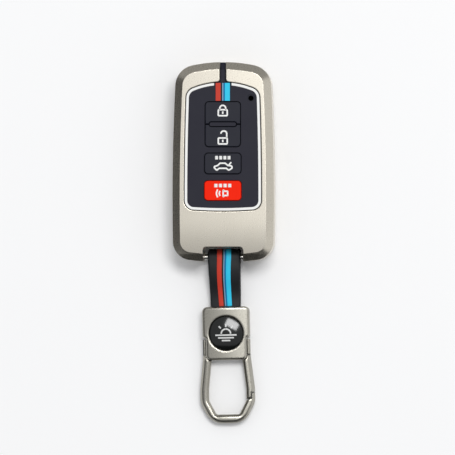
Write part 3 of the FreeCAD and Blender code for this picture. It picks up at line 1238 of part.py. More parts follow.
build_rear_shell()
build_rear_liner()
build_strap_bar()
build_front_shell()
build_keypad()
build_ring()
build_field_stripes()
build_buttons()
build_strap()
build_strap_stripes()
build_hook_frame()
build_clasp_cover()
build_dowel()
build_screws()
build_badge()
build_gate()
build_gate_pin()
build_gate_spring()

doc.recompute()
faults = [item.Label for item in doc.Objects if {"Invalid", "Error"} & set(item.State)]
faults += [item.Label for item in FINISHED if item.Shape.isNull() or not item.Shape.isValid()]
if faults:
    raise RuntimeError(f"These objects failed: {faults}")
os.makedirs("parts", exist_ok=True)
for item in FINISHED:
    item.Shape.exportStep(f"parts/{item.Label}.step")
    print(f"{item.Label}: {len(item.Shape.Solids)} solid, {item.Shape.Volume:.1f} mm3")
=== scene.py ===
"""Looks of the key fob cover: finishes of its solids, soft strap, printed signs and studio."""
import json
import logging
import math
from dataclasses import dataclass
from enum import Enum
from typing import Any, Iterator

import bmesh
import bpy
from bpy.types import Material, Mesh, Node, NodeSocket, NodeTree, Object
from mathutils import Matrix, Vector


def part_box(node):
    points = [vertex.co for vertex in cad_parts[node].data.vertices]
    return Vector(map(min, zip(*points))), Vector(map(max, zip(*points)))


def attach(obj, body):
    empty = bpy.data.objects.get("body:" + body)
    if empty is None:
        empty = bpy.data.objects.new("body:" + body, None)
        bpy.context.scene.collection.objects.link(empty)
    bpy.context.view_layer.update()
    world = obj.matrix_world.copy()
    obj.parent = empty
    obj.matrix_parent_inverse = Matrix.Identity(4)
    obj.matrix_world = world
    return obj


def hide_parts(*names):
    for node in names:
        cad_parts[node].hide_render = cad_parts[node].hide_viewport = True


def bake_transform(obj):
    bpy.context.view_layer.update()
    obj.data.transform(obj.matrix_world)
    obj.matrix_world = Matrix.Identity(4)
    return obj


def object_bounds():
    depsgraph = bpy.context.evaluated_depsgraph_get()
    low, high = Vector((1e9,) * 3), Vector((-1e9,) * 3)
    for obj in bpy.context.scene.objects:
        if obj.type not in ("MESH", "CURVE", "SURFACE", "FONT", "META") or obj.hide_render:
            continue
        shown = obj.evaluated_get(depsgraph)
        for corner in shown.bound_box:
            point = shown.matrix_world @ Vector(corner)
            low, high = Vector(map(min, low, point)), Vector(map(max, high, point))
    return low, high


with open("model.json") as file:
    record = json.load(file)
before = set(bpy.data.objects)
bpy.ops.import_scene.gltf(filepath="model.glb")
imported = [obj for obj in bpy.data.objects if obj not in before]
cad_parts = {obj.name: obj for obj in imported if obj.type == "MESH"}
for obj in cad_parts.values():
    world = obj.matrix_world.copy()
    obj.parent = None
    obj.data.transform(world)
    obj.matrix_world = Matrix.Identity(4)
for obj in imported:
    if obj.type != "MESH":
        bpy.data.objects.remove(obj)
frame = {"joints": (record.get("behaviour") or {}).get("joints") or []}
CAD_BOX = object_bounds()
LOG = logging.getLogger("key_fob_cover")
MM = 0.001
SRGB_KNEE = 0.04045
SRGB_SLOPE = 12.92
SRGB_OFFSET = 0.055
SRGB_POWER = 2.4
CORNER_STEPS = 6
EDGE_STEPS = 3

Point = tuple[float, float]
Ring = list[bmesh.types.BMVert]


def linear(code: str) -> tuple[float, float, float, float]:
    """Turn an sRGB hex colour into linear light.

    Args:
        code: Colour such as "#d8d0c2".

    Returns:
        Red, green, blue and an alpha of one.
    """
    shares = [int(code[place:place + 2], 16) / 255 for place in (1, 3, 5)]
    light = [share / SRGB_SLOPE if share <= SRGB_KNEE else
             ((share + SRGB_OFFSET) / (1 + SRGB_OFFSET)) ** SRGB_POWER for share in shares]
    return (*light, 1.0)


def per_metre(size_mm: float) -> float:
    """Texture scale at which one feature of a pattern is about this many millimetres."""
    return 1 / (size_mm * MM)


def add_node(tree: NodeTree, kind: str, fill: dict[str | int, Any] | None = None,
             **settings: Any) -> Node:
    """Add a node with its settings, and fill or link its inputs.

    Args:
        tree: Tree that gets the node.
        kind: Blender's name for the kind of node.
        fill: Input name or number, with a value or another node's output.
        settings: Properties of the node itself.

    Returns:
        The new node.
    """
    node = tree.nodes.new(kind)
    for name, setting in settings.items():
        setattr(node, name, setting)
    for name, source in (fill or {}).items():
        if isinstance(source, NodeSocket):
            tree.links.new(source, node.inputs[name])
        else:
            node.inputs[name].default_value = source
    return node


def bare_material(name: str) -> Material:
    """Make a material whose tree has no nodes yet.

    Args:
        name: Name of the material.

    Returns:
        The empty material.
    """
    made = bpy.data.materials.new(name)
    made.use_nodes = True
    made.node_tree.nodes.clear()
    return made


@dataclass(frozen=True)
class Finish:
    """A surface as it was made: its colour, and the shader that every finish starts from."""

    name: str
    colour: str
    roughness: float

    def material(self) -> Material:
        """Make the material, or give the one already made.

        Returns:
            The material with this finish's name.
        """
        if self.name in bpy.data.materials:
            return bpy.data.materials[self.name]
        made = bare_material(self.name)
        tree = made.node_tree
        place = add_node(tree, "ShaderNodeTexCoord").outputs["Object"]
        plain = {"Base Color": linear(self.colour), "Roughness": self.roughness}
        shader = add_node(tree, "ShaderNodeBsdfPrincipled", plain | self.dress(tree, place))
        add_node(tree, "ShaderNodeOutputMaterial", {"Surface": shader.outputs["BSDF"]})
        return made

    def dress(self, tree: NodeTree, place: NodeSocket) -> dict[str, Any]:
        """Add the finish's own nodes.

        Args:
            tree: The material's tree.
            place: Coordinates on the piece.

        Returns:
            The shader's inputs, each with a value or a node's output.
        """
        raise NotImplementedError


@dataclass(frozen=True)
class BlastedZinc(Finish):
    """Zinc alloy, die-cast, bead-blasted and plated: a fine even grain that spreads every reflection."""

    shade: str
    # Edge colour: partly plating rubbed bright, partly a painted highlight
    edge_wear_and_highlight: str = "#e2dccf"
    grain_mm: float = 0.45
    cloud_mm: float = 11.0
    edge_mm: float = 0.3
    edge_first_cosine: float = 0.995
    edge_full_cosine: float = 0.93
    roughness_spread: float = 0.03
    polish: float = 0.03
    pit_strength: float = 0.025
    pit_depth_mm: float = 0.05
    round_mm: float = 0.05
    crown_mm: float = 2000.0
    roll_mm: float = 0.0
    roll_from_mm: float = -21.0
    roll_to_mm: float = -37.0
    roll_power: float = 3.0

    def dress(self, tree: NodeTree, place: NodeSocket) -> dict[str, Any]:
        """Blast grain, slow clouds in the plating, edges painted light as wear and highlight, and
        tumbled rounding.

        Args:
            tree: The material's tree.
            place: Coordinates on the piece.

        Returns:
            The shader's inputs, each with a value or a node's output.
        """
        cloud = add_node(tree, "ShaderNodeTexNoise", {
            "Vector": place, "Scale": per_metre(self.cloud_mm), "Detail": 4.0, "Roughness": 0.6})
        tone = add_node(tree, "ShaderNodeMix", {
            0: cloud.outputs["Fac"], 6: linear(self.colour), 7: linear(self.shade)}, data_type="RGBA")
        # Edges painted lighter: partly plating rubbed bright, partly a painted highlight along every
        # edge
        rounded = add_node(tree, "ShaderNodeBevel", {"Radius": self.edge_mm * MM}, samples=6)
        flat = add_node(tree, "ShaderNodeNewGeometry")
        match = add_node(tree, "ShaderNodeVectorMath", {
            0: rounded.outputs["Normal"], 1: flat.outputs["Normal"]}, operation="DOT_PRODUCT")
        edge = add_node(tree, "ShaderNodeMapRange", {
            "Value": match.outputs["Value"], "From Min": self.edge_first_cosine,
            "From Max": self.edge_full_cosine})
        worn_and_highlit = add_node(tree, "ShaderNodeMix", {
            0: edge.outputs["Result"], 6: tone.outputs[2], 7: linear(self.edge_wear_and_highlight)}, data_type="RGBA")
        # Blast pits are about 0.1 mm across; they are drawn coarser so that they show in the render
        grain = add_node(tree, "ShaderNodeTexNoise", {
            "Vector": place, "Scale": per_metre(self.grain_mm), "Detail": 3.0, "Roughness": 0.7})
        spread = add_node(tree, "ShaderNodeMapRange", {
            "Value": grain.outputs["Fac"], "To Min": self.roughness - self.roughness_spread,
            "To Max": self.roughness + self.roughness_spread})
        polished = add_node(tree, "ShaderNodeMath", {
            0: edge.outputs["Result"], 1: -self.polish, 2: spread.outputs["Result"]},
            operation="MULTIPLY_ADD")
        # Tumbling rounds the edges, crowns the flats and rolls off the lower end, in the shading alone
        soft = add_node(tree, "ShaderNodeBevel", {"Radius": self.round_mm * MM}, samples=8)
        axes = add_node(tree, "ShaderNodeSeparateXYZ", {"Vector": place})
        square = add_node(tree, "ShaderNodeMath", {
            0: axes.outputs["X"], 1: axes.outputs["X"]}, operation="MULTIPLY")
        crown = add_node(tree, "ShaderNodeBump", {
            "Distance": 1 / (2 * self.crown_mm * MM), "Height": square.outputs["Value"],
            "Normal": soft.outputs["Normal"]}, invert=True)
        end = add_node(tree, "ShaderNodeMapRange", {
            "Value": axes.outputs["Y"], "From Min": self.roll_from_mm * MM,
            "From Max": self.roll_to_mm * MM})
        steepening = add_node(tree, "ShaderNodeMath", {
            0: end.outputs["Result"], 1: self.roll_power}, operation="POWER")
        roll = add_node(tree, "ShaderNodeBump", {
            "Distance": self.roll_mm * MM, "Height": steepening.outputs["Value"],
            "Normal": crown.outputs["Normal"]}, invert=True)
        bump = add_node(tree, "ShaderNodeBump", {
            "Strength": self.pit_strength, "Distance": self.pit_depth_mm * MM,
            "Height": grain.outputs["Fac"], "Normal": roll.outputs["Normal"]})
        return {"Metallic": 1.0, "Base Color": worn_and_highlit.outputs[2], "Roughness": polished.outputs["Value"],
                "Normal": bump.outputs["Normal"]}


@dataclass(frozen=True)
class MouldedSilicone(Finish):
    """Silicone rubber from a spark-textured mould: a soft matt skin that handling marks in patches."""

    shade: str
    texture_mm: float = 0.35
    texture_strength: float = 0.16
    texture_depth_mm: float = 0.05
    patch_mm: float = 7.0
    roughness_spread: float = 0.07
    index: float = 1.41
    specular: float = 0.36

    def dress(self, tree: NodeTree, place: NodeSocket) -> dict[str, Any]:
        """Mould texture in the bump, and patches of handling in colour and roughness.

        Args:
            tree: The material's tree.
            place: Coordinates on the piece.

        Returns:
            The shader's inputs, each with a value or a node's output.
        """
        patch = add_node(tree, "ShaderNodeTexNoise", {
            "Vector": place, "Scale": per_metre(self.patch_mm), "Detail": 5.0, "Roughness": 0.65})
        tone = add_node(tree, "ShaderNodeMix", {
            0: patch.outputs["Fac"], 6: linear(self.colour), 7: linear(self.shade)}, data_type="RGBA")
        sheen = add_node(tree, "ShaderNodeMapRange", {
            "Value": patch.outputs["Fac"], "To Min": self.roughness - self.roughness_spread,
            "To Max": self.roughness + self.roughness_spread})
        # Spark texture is about 0.1 mm across; it is drawn coarser so that it shows in the render
        texture = add_node(tree, "ShaderNodeTexNoise", {
            "Vector": place, "Scale": per_metre(self.texture_mm), "Detail": 2.0, "Roughness": 0.5})
        bump = add_node(tree, "ShaderNodeBump", {
            "Strength": self.texture_strength, "Distance": self.texture_depth_mm * MM,
            "Height": texture.outputs["Fac"]})
        return {"IOR": self.index, "Specular IOR Level": self.specular, "Base Color": tone.outputs[2],
                "Roughness": sheen.outputs["Result"], "Normal": bump.outputs["Normal"]}


@dataclass(frozen=True)
class ScreenInk(Finish):
    """Silicone ink, screen-printed: opaque, a little uneven where the mesh let it through."""

    shade: str
    mesh_mm: float = 0.4
    thin_first: float = 0.45
    thin_full: float = 0.75
    film_strength: float = 0.1
    film_depth_mm: float = 0.03

    def dress(self, tree: NodeTree, place: NodeSocket) -> dict[str, Any]:
        """Uneven ink in colour and bump.

        Args:
            tree: The material's tree.
            place: Coordinates on the piece.

        Returns:
            The shader's inputs, each with a value or a node's output.
        """
        # A printing mesh has about 0.1 mm between its threads; it is drawn coarser so that it shows
        mesh = add_node(tree, "ShaderNodeTexNoise", {
            "Vector": place, "Scale": per_metre(self.mesh_mm), "Detail": 2.0})
        ink = add_node(tree, "ShaderNodeMapRange", {
            "Value": mesh.outputs["Fac"], "From Min": self.thin_first, "From Max": self.thin_full})
        tone = add_node(tree, "ShaderNodeMix", {
            0: ink.outputs["Result"], 6: linear(self.colour), 7: linear(self.shade)}, data_type="RGBA")
        bump = add_node(tree, "ShaderNodeBump", {
            "Strength": self.film_strength, "Distance": self.film_depth_mm * MM,
            "Height": mesh.outputs["Fac"]})
        return {"Base Color": tone.outputs[2], "Normal": bump.outputs["Normal"]}


@dataclass(frozen=True)
class TurnedSteel(Finish):
    """Steel wire and bar, drawn and turned: bright, with fine lines along its length."""

    line_mm: float = 0.25
    line_stretch: float = 12.0
    line_strength: float = 0.15
    line_depth_mm: float = 0.02
    roughness_spread: float = 0.08

    def dress(self, tree: NodeTree, place: NodeSocket) -> dict[str, Any]:
        """Drawing lines along X in roughness and bump.

        Args:
            tree: The material's tree.
            place: Coordinates on the piece.

        Returns:
            The shader's inputs, each with a value or a node's output.
        """
        drawn = add_node(tree, "ShaderNodeMapping", {
            "Vector": place, "Scale": (1 / self.line_stretch, 1.0, 1.0)})
        # Die lines on drawn steel are under 0.1 mm wide; here they are coarser, so that they show
        lines = add_node(tree, "ShaderNodeTexNoise", {
            "Vector": drawn.outputs["Vector"], "Scale": per_metre(self.line_mm), "Detail": 3.0})
        spread = add_node(tree, "ShaderNodeMapRange", {
            "Value": lines.outputs["Fac"], "To Min": self.roughness - self.roughness_spread,
            "To Max": self.roughness + self.roughness_spread})
        bump = add_node(tree, "ShaderNodeBump", {
            "Strength": self.line_strength, "Distance": self.line_depth_mm * MM,
            "Height": lines.outputs["Fac"]})
        return {"Metallic": 1.0, "Roughness": spread.outputs["Result"], "Normal": bump.outputs["Normal"]}


@dataclass(frozen=True)
class GlossEnamel(Finish):
    """Stoved enamel on a pressed disc: deep black with the faint ripple of a flowed coat."""

    shade: str
    ripple_mm: float = 2.5
    ripple_strength: float = 0.05
    ripple_depth_mm: float = 0.05
    specular: float = 0.05

    def dress(self, tree: NodeTree, place: NodeSocket) -> dict[str, Any]:
        """Slow ripple in colour and bump.

        Args:
            tree: The material's tree.
            place: Coordinates on the piece.

        Returns:
            The shader's inputs, each with a value or a node's output.
        """
        ripple = add_node(tree, "ShaderNodeTexNoise", {
            "Vector": place, "Scale": per_metre(self.ripple_mm), "Detail": 2.0})
        tone = add_node(tree, "ShaderNodeMix", {
            0: ripple.outputs["Fac"], 6: linear(self.colour), 7: linear(self.shade)}, data_type="RGBA")
        bump = add_node(tree, "ShaderNodeBump", {
            "Strength": self.ripple_strength, "Distance": self.ripple_depth_mm * MM,
            "Height": ripple.outputs["Fac"]})
        # The resin lies on the enamel, so hardly any light turns back where they meet
        return {"Specular IOR Level": self.specular, "Base Color": tone.outputs[2],
                "Normal": bump.outputs["Normal"]}


@dataclass(frozen=True)
class PouredResin(Finish):
    """Epoxy resin, poured over black: from outside one deep black gloss that mirrors the lights."""

    shade: str
    handled_mm: float = 5.0
    roughness_spread: float = 0.02
    index: float = 1.55

    def dress(self, tree: NodeTree, place: NodeSocket) -> dict[str, Any]:
        """Faint clouds in the black, and places that fingers have dulled.

        Args:
            tree: The material's tree.
            place: Coordinates on the piece.

        Returns:
            The shader's inputs, each with a value or a node's output.
        """
        handled = add_node(tree, "ShaderNodeTexNoise", {
            "Vector": place, "Scale": per_metre(self.handled_mm), "Detail": 2.0})
        tone = add_node(tree, "ShaderNodeMix", {
            0: handled.outputs["Fac"], 6: linear(self.colour), 7: linear(self.shade)}, data_type="RGBA")
        dulled = add_node(tree, "ShaderNodeMapRange", {
            "Value": handled.outputs["Fac"], "To Min": self.roughness - self.roughness_spread,
            "To Max": self.roughness + self.roughness_spread})
        return {"IOR": self.index, "Base Color": tone.outputs[2], "Roughness": dulled.outputs["Result"]}


CASE_METAL = BlastedZinc("zinc_blasted_champagne_plated", "#d8d2c5", 0.28, "#cec8bb", roll_mm=0.55)
# The clasp's lighter edge colour is partly rubbed plating, partly a painted highlight
CLASP_METAL = BlastedZinc("zinc_tumbled_nickel_plated", "#b4b1a7", 0.28, "#a8a59b", edge_wear_and_highlight="#c6c3ba",
                          round_mm=1.0, crown_mm=60.0)
BLACK_SILICONE = MouldedSilicone("silicone_moulded_black", "#191a28", 0.55, "#1e1d2c")
BLACK_CAP = MouldedSilicone("silicone_moulded_black_cap", "#161926", 0.52, "#1b1c2a", texture_mm=0.3)
STRAP_SILICONE = MouldedSilicone("silicone_moulded_black_strap", "#1a1c1f", 0.5, "#222527",
                                 texture_mm=0.45)
RED_CAP = MouldedSilicone("silicone_moulded_red_cap", "#fb2605", 0.5, "#f42404",
                          texture_mm=0.3, specular=0.1)
WHITE_SILICONE = MouldedSilicone("silicone_moulded_white", "#f8f8f6", 0.42, "#f2f2ef", texture_mm=0.3)
RED_INLAY, PALE_INLAY, BLUE_INLAY, DEEP_INLAY = (
    MouldedSilicone(f"silicone_moulded_{hue}", colour, 0.45, shade, texture_mm=0.4, specular=0.2)
    for hue, colour, shade in (
        ("red", "#cd4131", "#c23a2b"), ("pale_blue", "#7fa9c6", "#739dba"),
        ("sky_blue", "#38cff2", "#2fc4ea"), ("deep_blue", "#1279b0", "#0d70a6")))
SIGN_INK = ScreenInk("silicone_ink_printed_white", "#f8f8f6", 0.45, "#dcdcd8")
BADGE_INK = ScreenInk("foil_ink_printed_silver", "#d9dad8", 0.35, "#b9bbba")
STEEL = TurnedSteel("steel_drawn_bright", "#c9c8c4", 0.24)
ENAMEL = GlossEnamel("enamel_stoved_black", "#0a0c0b", 0.18, "#121413")
RESIN = PouredResin("epoxy_poured_over_black", "#0a0c0b", 0.12, "#141615")

NODE_FINISHES = {
    CASE_METAL: ("front_shell", "rear_shell"),
    CLASP_METAL: ("hook_frame", "clasp_cover", "gate"),
    BLACK_SILICONE: ("rear_liner", "keypad"),
    BLACK_CAP: ("lock_button", "unlock_button", "trunk_button"),
    RED_CAP: ("panic_button",),
    WHITE_SILICONE: ("light_ring",),
    RED_INLAY: ("field_stripe_red",),
    PALE_INLAY: ("field_stripe_pale",),
    BLUE_INLAY: ("field_stripe_blue",),
    STEEL: ("strap_bar", "strap_dowel", "clasp_screws", "gate_pin", "gate_spring"),
    ENAMEL: ("badge_disc",),
    RESIN: ("badge_dome",),
}


def add_object(name: str, mesh: Mesh) -> Object:
    """Put a mesh into the scene as an object at the origin.

    Args:
        name: Name of the object.
        mesh: Its mesh, with its place in it.

    Returns:
        The object.
    """
    made = bpy.data.objects.new(name, mesh)
    bpy.context.scene.collection.objects.link(made)
    return made


def grow(name: str, path: Mesh, tree: NodeTree, **sizes: Any) -> Mesh:
    """Run a node tree on a path and keep the result as a plain mesh.

    Args:
        name: Name of the new mesh.
        path: Mesh of edges that the tree starts from.
        tree: Geometry node tree.
        sizes: The tree's inputs by name.

    Returns:
        The mesh that the tree made.
    """
    carrier = add_object(name, path)
    run = carrier.modifiers.new("grow", "NODES")
    run.node_group = tree
    sockets = {item.name: item.identifier for item in tree.interface.items_tree
               if item.in_out == "INPUT"}
    for label, size in sizes.items():
        run[sockets[label]] = size
    graph = bpy.context.evaluated_depsgraph_get()
    mesh = bpy.data.meshes.new_from_object(carrier.evaluated_get(graph), depsgraph=graph)
    carrier.modifiers.remove(run)
    bpy.data.objects.remove(carrier)
    mesh.name = name
    return mesh


def add_sockets(tree: NodeTree, inputs: dict[str, str]) -> Node:
    """Give a geometry tree its named inputs and its output.

    Args:
        tree: Tree to fit out.
        inputs: Input names with their kinds.

    Returns:
        The node that gives the inputs out.
    """
    for name, kind in inputs.items():
        tree.interface.new_socket(name, in_out="INPUT", socket_type=f"NodeSocket{kind}")
    tree.interface.new_socket("Geometry", in_out="OUTPUT", socket_type="NodeSocketGeometry")
    return add_node(tree, "NodeGroupInput")


def band_tree() -> NodeTree:
    """Tree that sweeps a flat band with rounded edges along a path of edges.

    Returns:
        The tree; a point's "turn" attribute is the radius that its corner is rounded to.
    """
    tree = bpy.data.node_groups.new("swept_band", "GeometryNodeTree")
    given = add_sockets(tree, {
        "Geometry": "Geometry", "Width": "Float", "Thickness": "Float", "Edge": "Float",
        "Material": "Material"})
    line = add_node(tree, "GeometryNodeMeshToCurve", {"Mesh": given.outputs["Geometry"]})
    turn = add_node(tree, "GeometryNodeInputNamedAttribute", {"Name": "turn"}, data_type="FLOAT")
    round_line = add_node(tree, "GeometryNodeFilletCurve", {
        "Curve": line.outputs["Curve"], "Radius": turn.outputs[0], "Count": CORNER_STEPS,
        "Limit Radius": True}, mode="POLY")
    level = add_node(tree, "GeometryNodeSetCurveNormal", {
        "Curve": round_line.outputs["Curve"]}, mode="Z_UP")
    section = add_node(tree, "GeometryNodeCurvePrimitiveQuadrilateral", {
        "Width": given.outputs["Width"], "Height": given.outputs["Thickness"]}, mode="RECTANGLE")
    soft = add_node(tree, "GeometryNodeFilletCurve", {
        "Curve": section.outputs["Curve"], "Radius": given.outputs["Edge"], "Count": EDGE_STEPS,
        "Limit Radius": True}, mode="POLY")
    swept = add_node(tree, "GeometryNodeCurveToMesh", {
        "Curve": level.outputs["Curve"], "Profile Curve": soft.outputs["Curve"], "Fill Caps": True})
    plain = add_node(tree, "GeometryNodeRealizeInstances", {"Geometry": swept.outputs["Mesh"]})
    dressed = add_node(tree, "GeometryNodeSetMaterial", {
        "Geometry": plain.outputs["Geometry"], "Material": given.outputs["Material"]})
    add_node(tree, "NodeGroupOutput", {"Geometry": dressed.outputs["Geometry"]})
    return tree


def dash_tree() -> NodeTree:
    """Tree that sets a number of equal dashes in a row along X.

    Returns:
        The tree, whose row starts at the origin.
    """
    tree = bpy.data.node_groups.new("dash_row", "GeometryNodeTree")
    given = add_sockets(tree, {
        "Geometry": "Geometry", "Count": "Int", "Pitch": "Float", "Width": "Float",
        "Height": "Float", "Thickness": "Float", "Material": "Material"})
    step = add_node(tree, "ShaderNodeCombineXYZ", {"X": given.outputs["Pitch"]})
    places = add_node(tree, "GeometryNodeMeshLine", {
        "Count": given.outputs["Count"], "Offset": step.outputs["Vector"]})
    reach = add_node(tree, "ShaderNodeCombineXYZ", {"Y": given.outputs["Height"]})
    upright = add_node(tree, "GeometryNodeCurvePrimitiveLine", {"End": reach.outputs["Vector"]})
    level = add_node(tree, "GeometryNodeSetCurveNormal", {
        "Curve": upright.outputs["Curve"]}, mode="Z_UP")
    section = add_node(tree, "GeometryNodeCurvePrimitiveQuadrilateral", {
        "Width": given.outputs["Width"], "Height": given.outputs["Thickness"]}, mode="RECTANGLE")
    dash = add_node(tree, "GeometryNodeCurveToMesh", {
        "Curve": level.outputs["Curve"], "Profile Curve": section.outputs["Curve"], "Fill Caps": True})
    row = add_node(tree, "GeometryNodeInstanceOnPoints", {
        "Points": places.outputs["Mesh"], "Instance": dash.outputs["Mesh"]})
    plain = add_node(tree, "GeometryNodeRealizeInstances", {"Geometry": row.outputs["Instances"]})
    dressed = add_node(tree, "GeometryNodeSetMaterial", {
        "Geometry": plain.outputs["Geometry"], "Material": given.outputs["Material"]})
    add_node(tree, "NodeGroupOutput", {"Geometry": dressed.outputs["Geometry"]})
    return tree


def spaced(first: float, last: float, step: float) -> list[float]:
    """Values from first to last in equal steps of about a given size."""
    count = max(1, round(abs(last - first) / step))
    return [first + (last - first) * number / count for number in range(count + 1)]


@dataclass(frozen=True)
class Stroke:
    """One line of a sign in millimetres: its corners, and the radius that they are rounded to."""

    points: tuple[Point, ...]
    turn: float = 0.0
    closed: bool = False

    def split(self, step: float) -> "Stroke":
        """Cut a straight line into steps, so that it drapes; a line with round turns stays as it is.

        Args:
            step: Length of a step in millimetres.

        Returns:
            The line with more points, or the same line.
        """
        if self.turn:
            return self
        start, end = Vector(self.points[0]), Vector(self.points[-1])
        shares = spaced(0.0, 1.0, step / (end - start).length)
        return Stroke(tuple(tuple(start.lerp(end, share)) for share in shares))


def path_mesh(name: str, strokes: list[Stroke]) -> Mesh:
    """Lay strokes out as a flat mesh of edges.

    Args:
        name: Name of the mesh.
        strokes: Lines in millimetres.

    Returns:
        The mesh, with the radius of each corner as its "turn" attribute.
    """
    corners: list[Vector] = []
    edges: list[tuple[int, int]] = []
    turns: list[float] = []
    for stroke in strokes:
        first = len(corners)
        corners += [Vector((x, y, 0)) * MM for x, y in stroke.points]
        turns += [stroke.turn * MM] * len(stroke.points)
        last = len(corners) - 1
        edges += [(number, number + 1) for number in range(first, last)]
        if stroke.closed:
            edges.append((last, first))
    mesh = bpy.data.meshes.new(name)
    mesh.from_pydata(corners, edges, [])
    mark = mesh.attributes.new("turn", "FLOAT", "POINT")
    mark.data.foreach_set("value", turns)
    return mesh


class Sign(Enum):
    """Pictograms of the buttons and motif of the badge, as strokes in millimetres about the middle."""

    LOCK = (
        Stroke(((-1.8, -2.05), (1.8, -2.05), (1.8, 0.35), (-1.8, 0.35)), 0.35, closed=True),
        Stroke(((-1.2, 0.3), (-1.2, 2.1), (1.2, 2.1), (1.2, 0.3)), 1.2),
        Stroke(((0.0, -0.3), (0.0, -1.35))),
    )
    UNLOCK = (
        Stroke(((-1.8, -2.6), (1.8, -2.6), (1.8, -0.2), (-1.8, -0.2)), 0.35, closed=True),
        Stroke(((-0.75, 1.5), (-0.75, 2.6), (1.6, 2.6), (1.6, -0.2)), 1.1),
        Stroke(((0.0, -0.85), (0.0, -1.9))),
    )
    TRUNK = (
        Stroke(((-3.75, -0.15), (-2.0, 0.4), (-1.1, 1.3), (1.0, 1.3), (2.0, 0.4), (3.6, 0.2),
                (3.75, -0.7), (2.4, -1.55), (1.45, -0.75), (-1.45, -0.75), (-2.4, -1.55)),
               0.4, closed=True),
        Stroke(((2.35, 0.55), (3.45, 1.7))),
    )
    HORN = (
        Stroke(((0.8, 0.85), (0.15, 1.35), (0.15, -1.35), (0.8, -0.85), (1.97, -0.85), (1.97, 0.85)),
               0.1, closed=True),
        Stroke(((-1.1, 1.0), (-1.55, 0.0), (-1.1, -1.0)), 1.4),
        Stroke(((-2.05, 1.6), (-2.7, 0.0), (-2.05, -1.6)), 2.2),
    )
    SUNRISE = (
        Stroke(((-1.9, -0.2), (-1.9, 1.7), (1.9, 1.7), (1.9, -0.2)), 1.9),
        Stroke(((-4.3, -0.75), (4.3, -0.75))),
        Stroke(((-3.2, -1.85), (3.2, -1.85))),
        Stroke(((-1.7, -2.95), (1.7, -2.95))),
        Stroke(((0.0, 2.5), (0.0, 3.7))),
        Stroke(((-2.0, 2.0), (-2.85, 2.85))),
        Stroke(((2.0, 2.0), (2.85, 2.85))),
    )


@dataclass
class Button:
    """Printed signs on one button cap; sizes in millimetres."""

    node: str
    body: str
    sign: Sign
    sign_lift: float = 0.0
    dash_lift: float | None = None
    dash_reach: float = 6.2
    line_width: float = 0.62
    ink_depth: float = 0.12
    ink_edge: float = 0.04
    dash_count: int = 4
    dash_share: float = 0.72
    dash_height: float = 1.4

    def print_signs(self, bands: NodeTree, dashes: NodeTree) -> Iterator[Object]:
        """Print the pictogram, and the row of dashes where the button has one.

        Args:
            bands: Tree for the pictogram's lines.
            dashes: Tree for the row.

        Returns:
            The printed pieces, riding on the button's body.
        """
        low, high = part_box(self.node)
        middle = Vector(((low.x + high.x) / 2, (low.y + high.y) / 2, high.z))
        ink = SIGN_INK.material()
        path = path_mesh(f"{self.node}_sign", list(self.sign.value))
        sign = grow(f"{self.node}_sign", path, bands, Width=self.line_width * MM,
                    Thickness=self.ink_depth * MM, Edge=self.ink_edge * MM, Material=ink)
        sign.transform(Matrix.Translation(middle + Vector((0, self.sign_lift * MM, 0))))
        yield self.settle(sign)
        if self.dash_lift is None:
            return
        pitch = self.dash_reach / (self.dash_count - 1 + self.dash_share)
        row = grow(f"{self.node}_dashes", bpy.data.meshes.new(f"{self.node}_dashes"), dashes,
                   Count=self.dash_count, Pitch=pitch * MM, Width=pitch * self.dash_share * MM,
                   Height=self.dash_height * MM, Thickness=self.ink_depth * MM, Material=ink)
        start = -pitch * (self.dash_count - 1) / 2
        row.transform(Matrix.Translation(middle + Vector((start, self.dash_lift, 0)) * MM))
        yield self.settle(row)

    def settle(self, mesh: Mesh) -> Object:
        """Make a printed mesh an object that rides on the button.

        Args:
            mesh: The print, in its place.

        Returns:
            The piece.
        """
        piece = add_object(mesh.name, mesh)
        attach(piece, self.body)
        return piece


def shrunk(outline: list[Point], inset: float) -> list[Point]:
    """Draw a closed outline in by an inset.

    Args:
        outline: Points, clockwise seen from +X.
        inset: Distance inwards.

    Returns:
        As many points, moved along the outline's normals.
    """
    moved = []
    for number, (y, z) in enumerate(outline):
        before = Vector(outline[number - 1])
        after = Vector(outline[(number + 1) % len(outline)])
        along = (after - before).normalized()
        moved.append((y + along.y * inset, z - along.x * inset))
    return moved


def add_ring(shape: bmesh.types.BMesh, side: float, outline: list[Point]) -> Ring:
    """Add an outline's points in the plane across X at a side."""
    return [shape.verts.new((side, y, z)) for y, z in outline]


def bridge(shape: bmesh.types.BMesh, one: Ring, two: Ring) -> None:
    """Close the band between two rings.

    Args:
        shape: Shape that holds the rings.
        one: First ring.
        two: Second ring, with as many points.
    """
    for number in range(len(one)):
        after = (number + 1) % len(one)
        shape.faces.new((one[number], one[after], two[after], two[number]))


def ring_edges(ring: Ring) -> list[bmesh.types.BMEdge]:
    """Edges along a closed ring."""
    pairs = zip(ring, ring[1:] + ring[:1])
    return [next(edge for edge in one.link_edges if two in edge.verts) for one, two in pairs]


def finished(shape: bmesh.types.BMesh, name: str) -> Mesh:
    """Turn a worked shape into a mesh.

    Args:
        shape: The shape, which is freed.
        name: Name of the mesh.

    Returns:
        The mesh.
    """
    mesh = bpy.data.meshes.new(name)
    shape.to_mesh(mesh)
    shape.free()
    return mesh


def smooth(mesh: Mesh, sharp: float) -> None:
    """Shade a mesh smooth, apart from edges that turn by more than an angle in degrees."""
    mesh.shade_smooth()
    mesh.set_sharp_from_angle(angle=math.radians(sharp))


@dataclass(frozen=True)
class Stripe:
    """One coloured line along the strap; sizes in millimetres."""

    colour: str
    middle: float
    width: float
    rise: float
    finish: Finish
    slot: str
    node: str | None = None


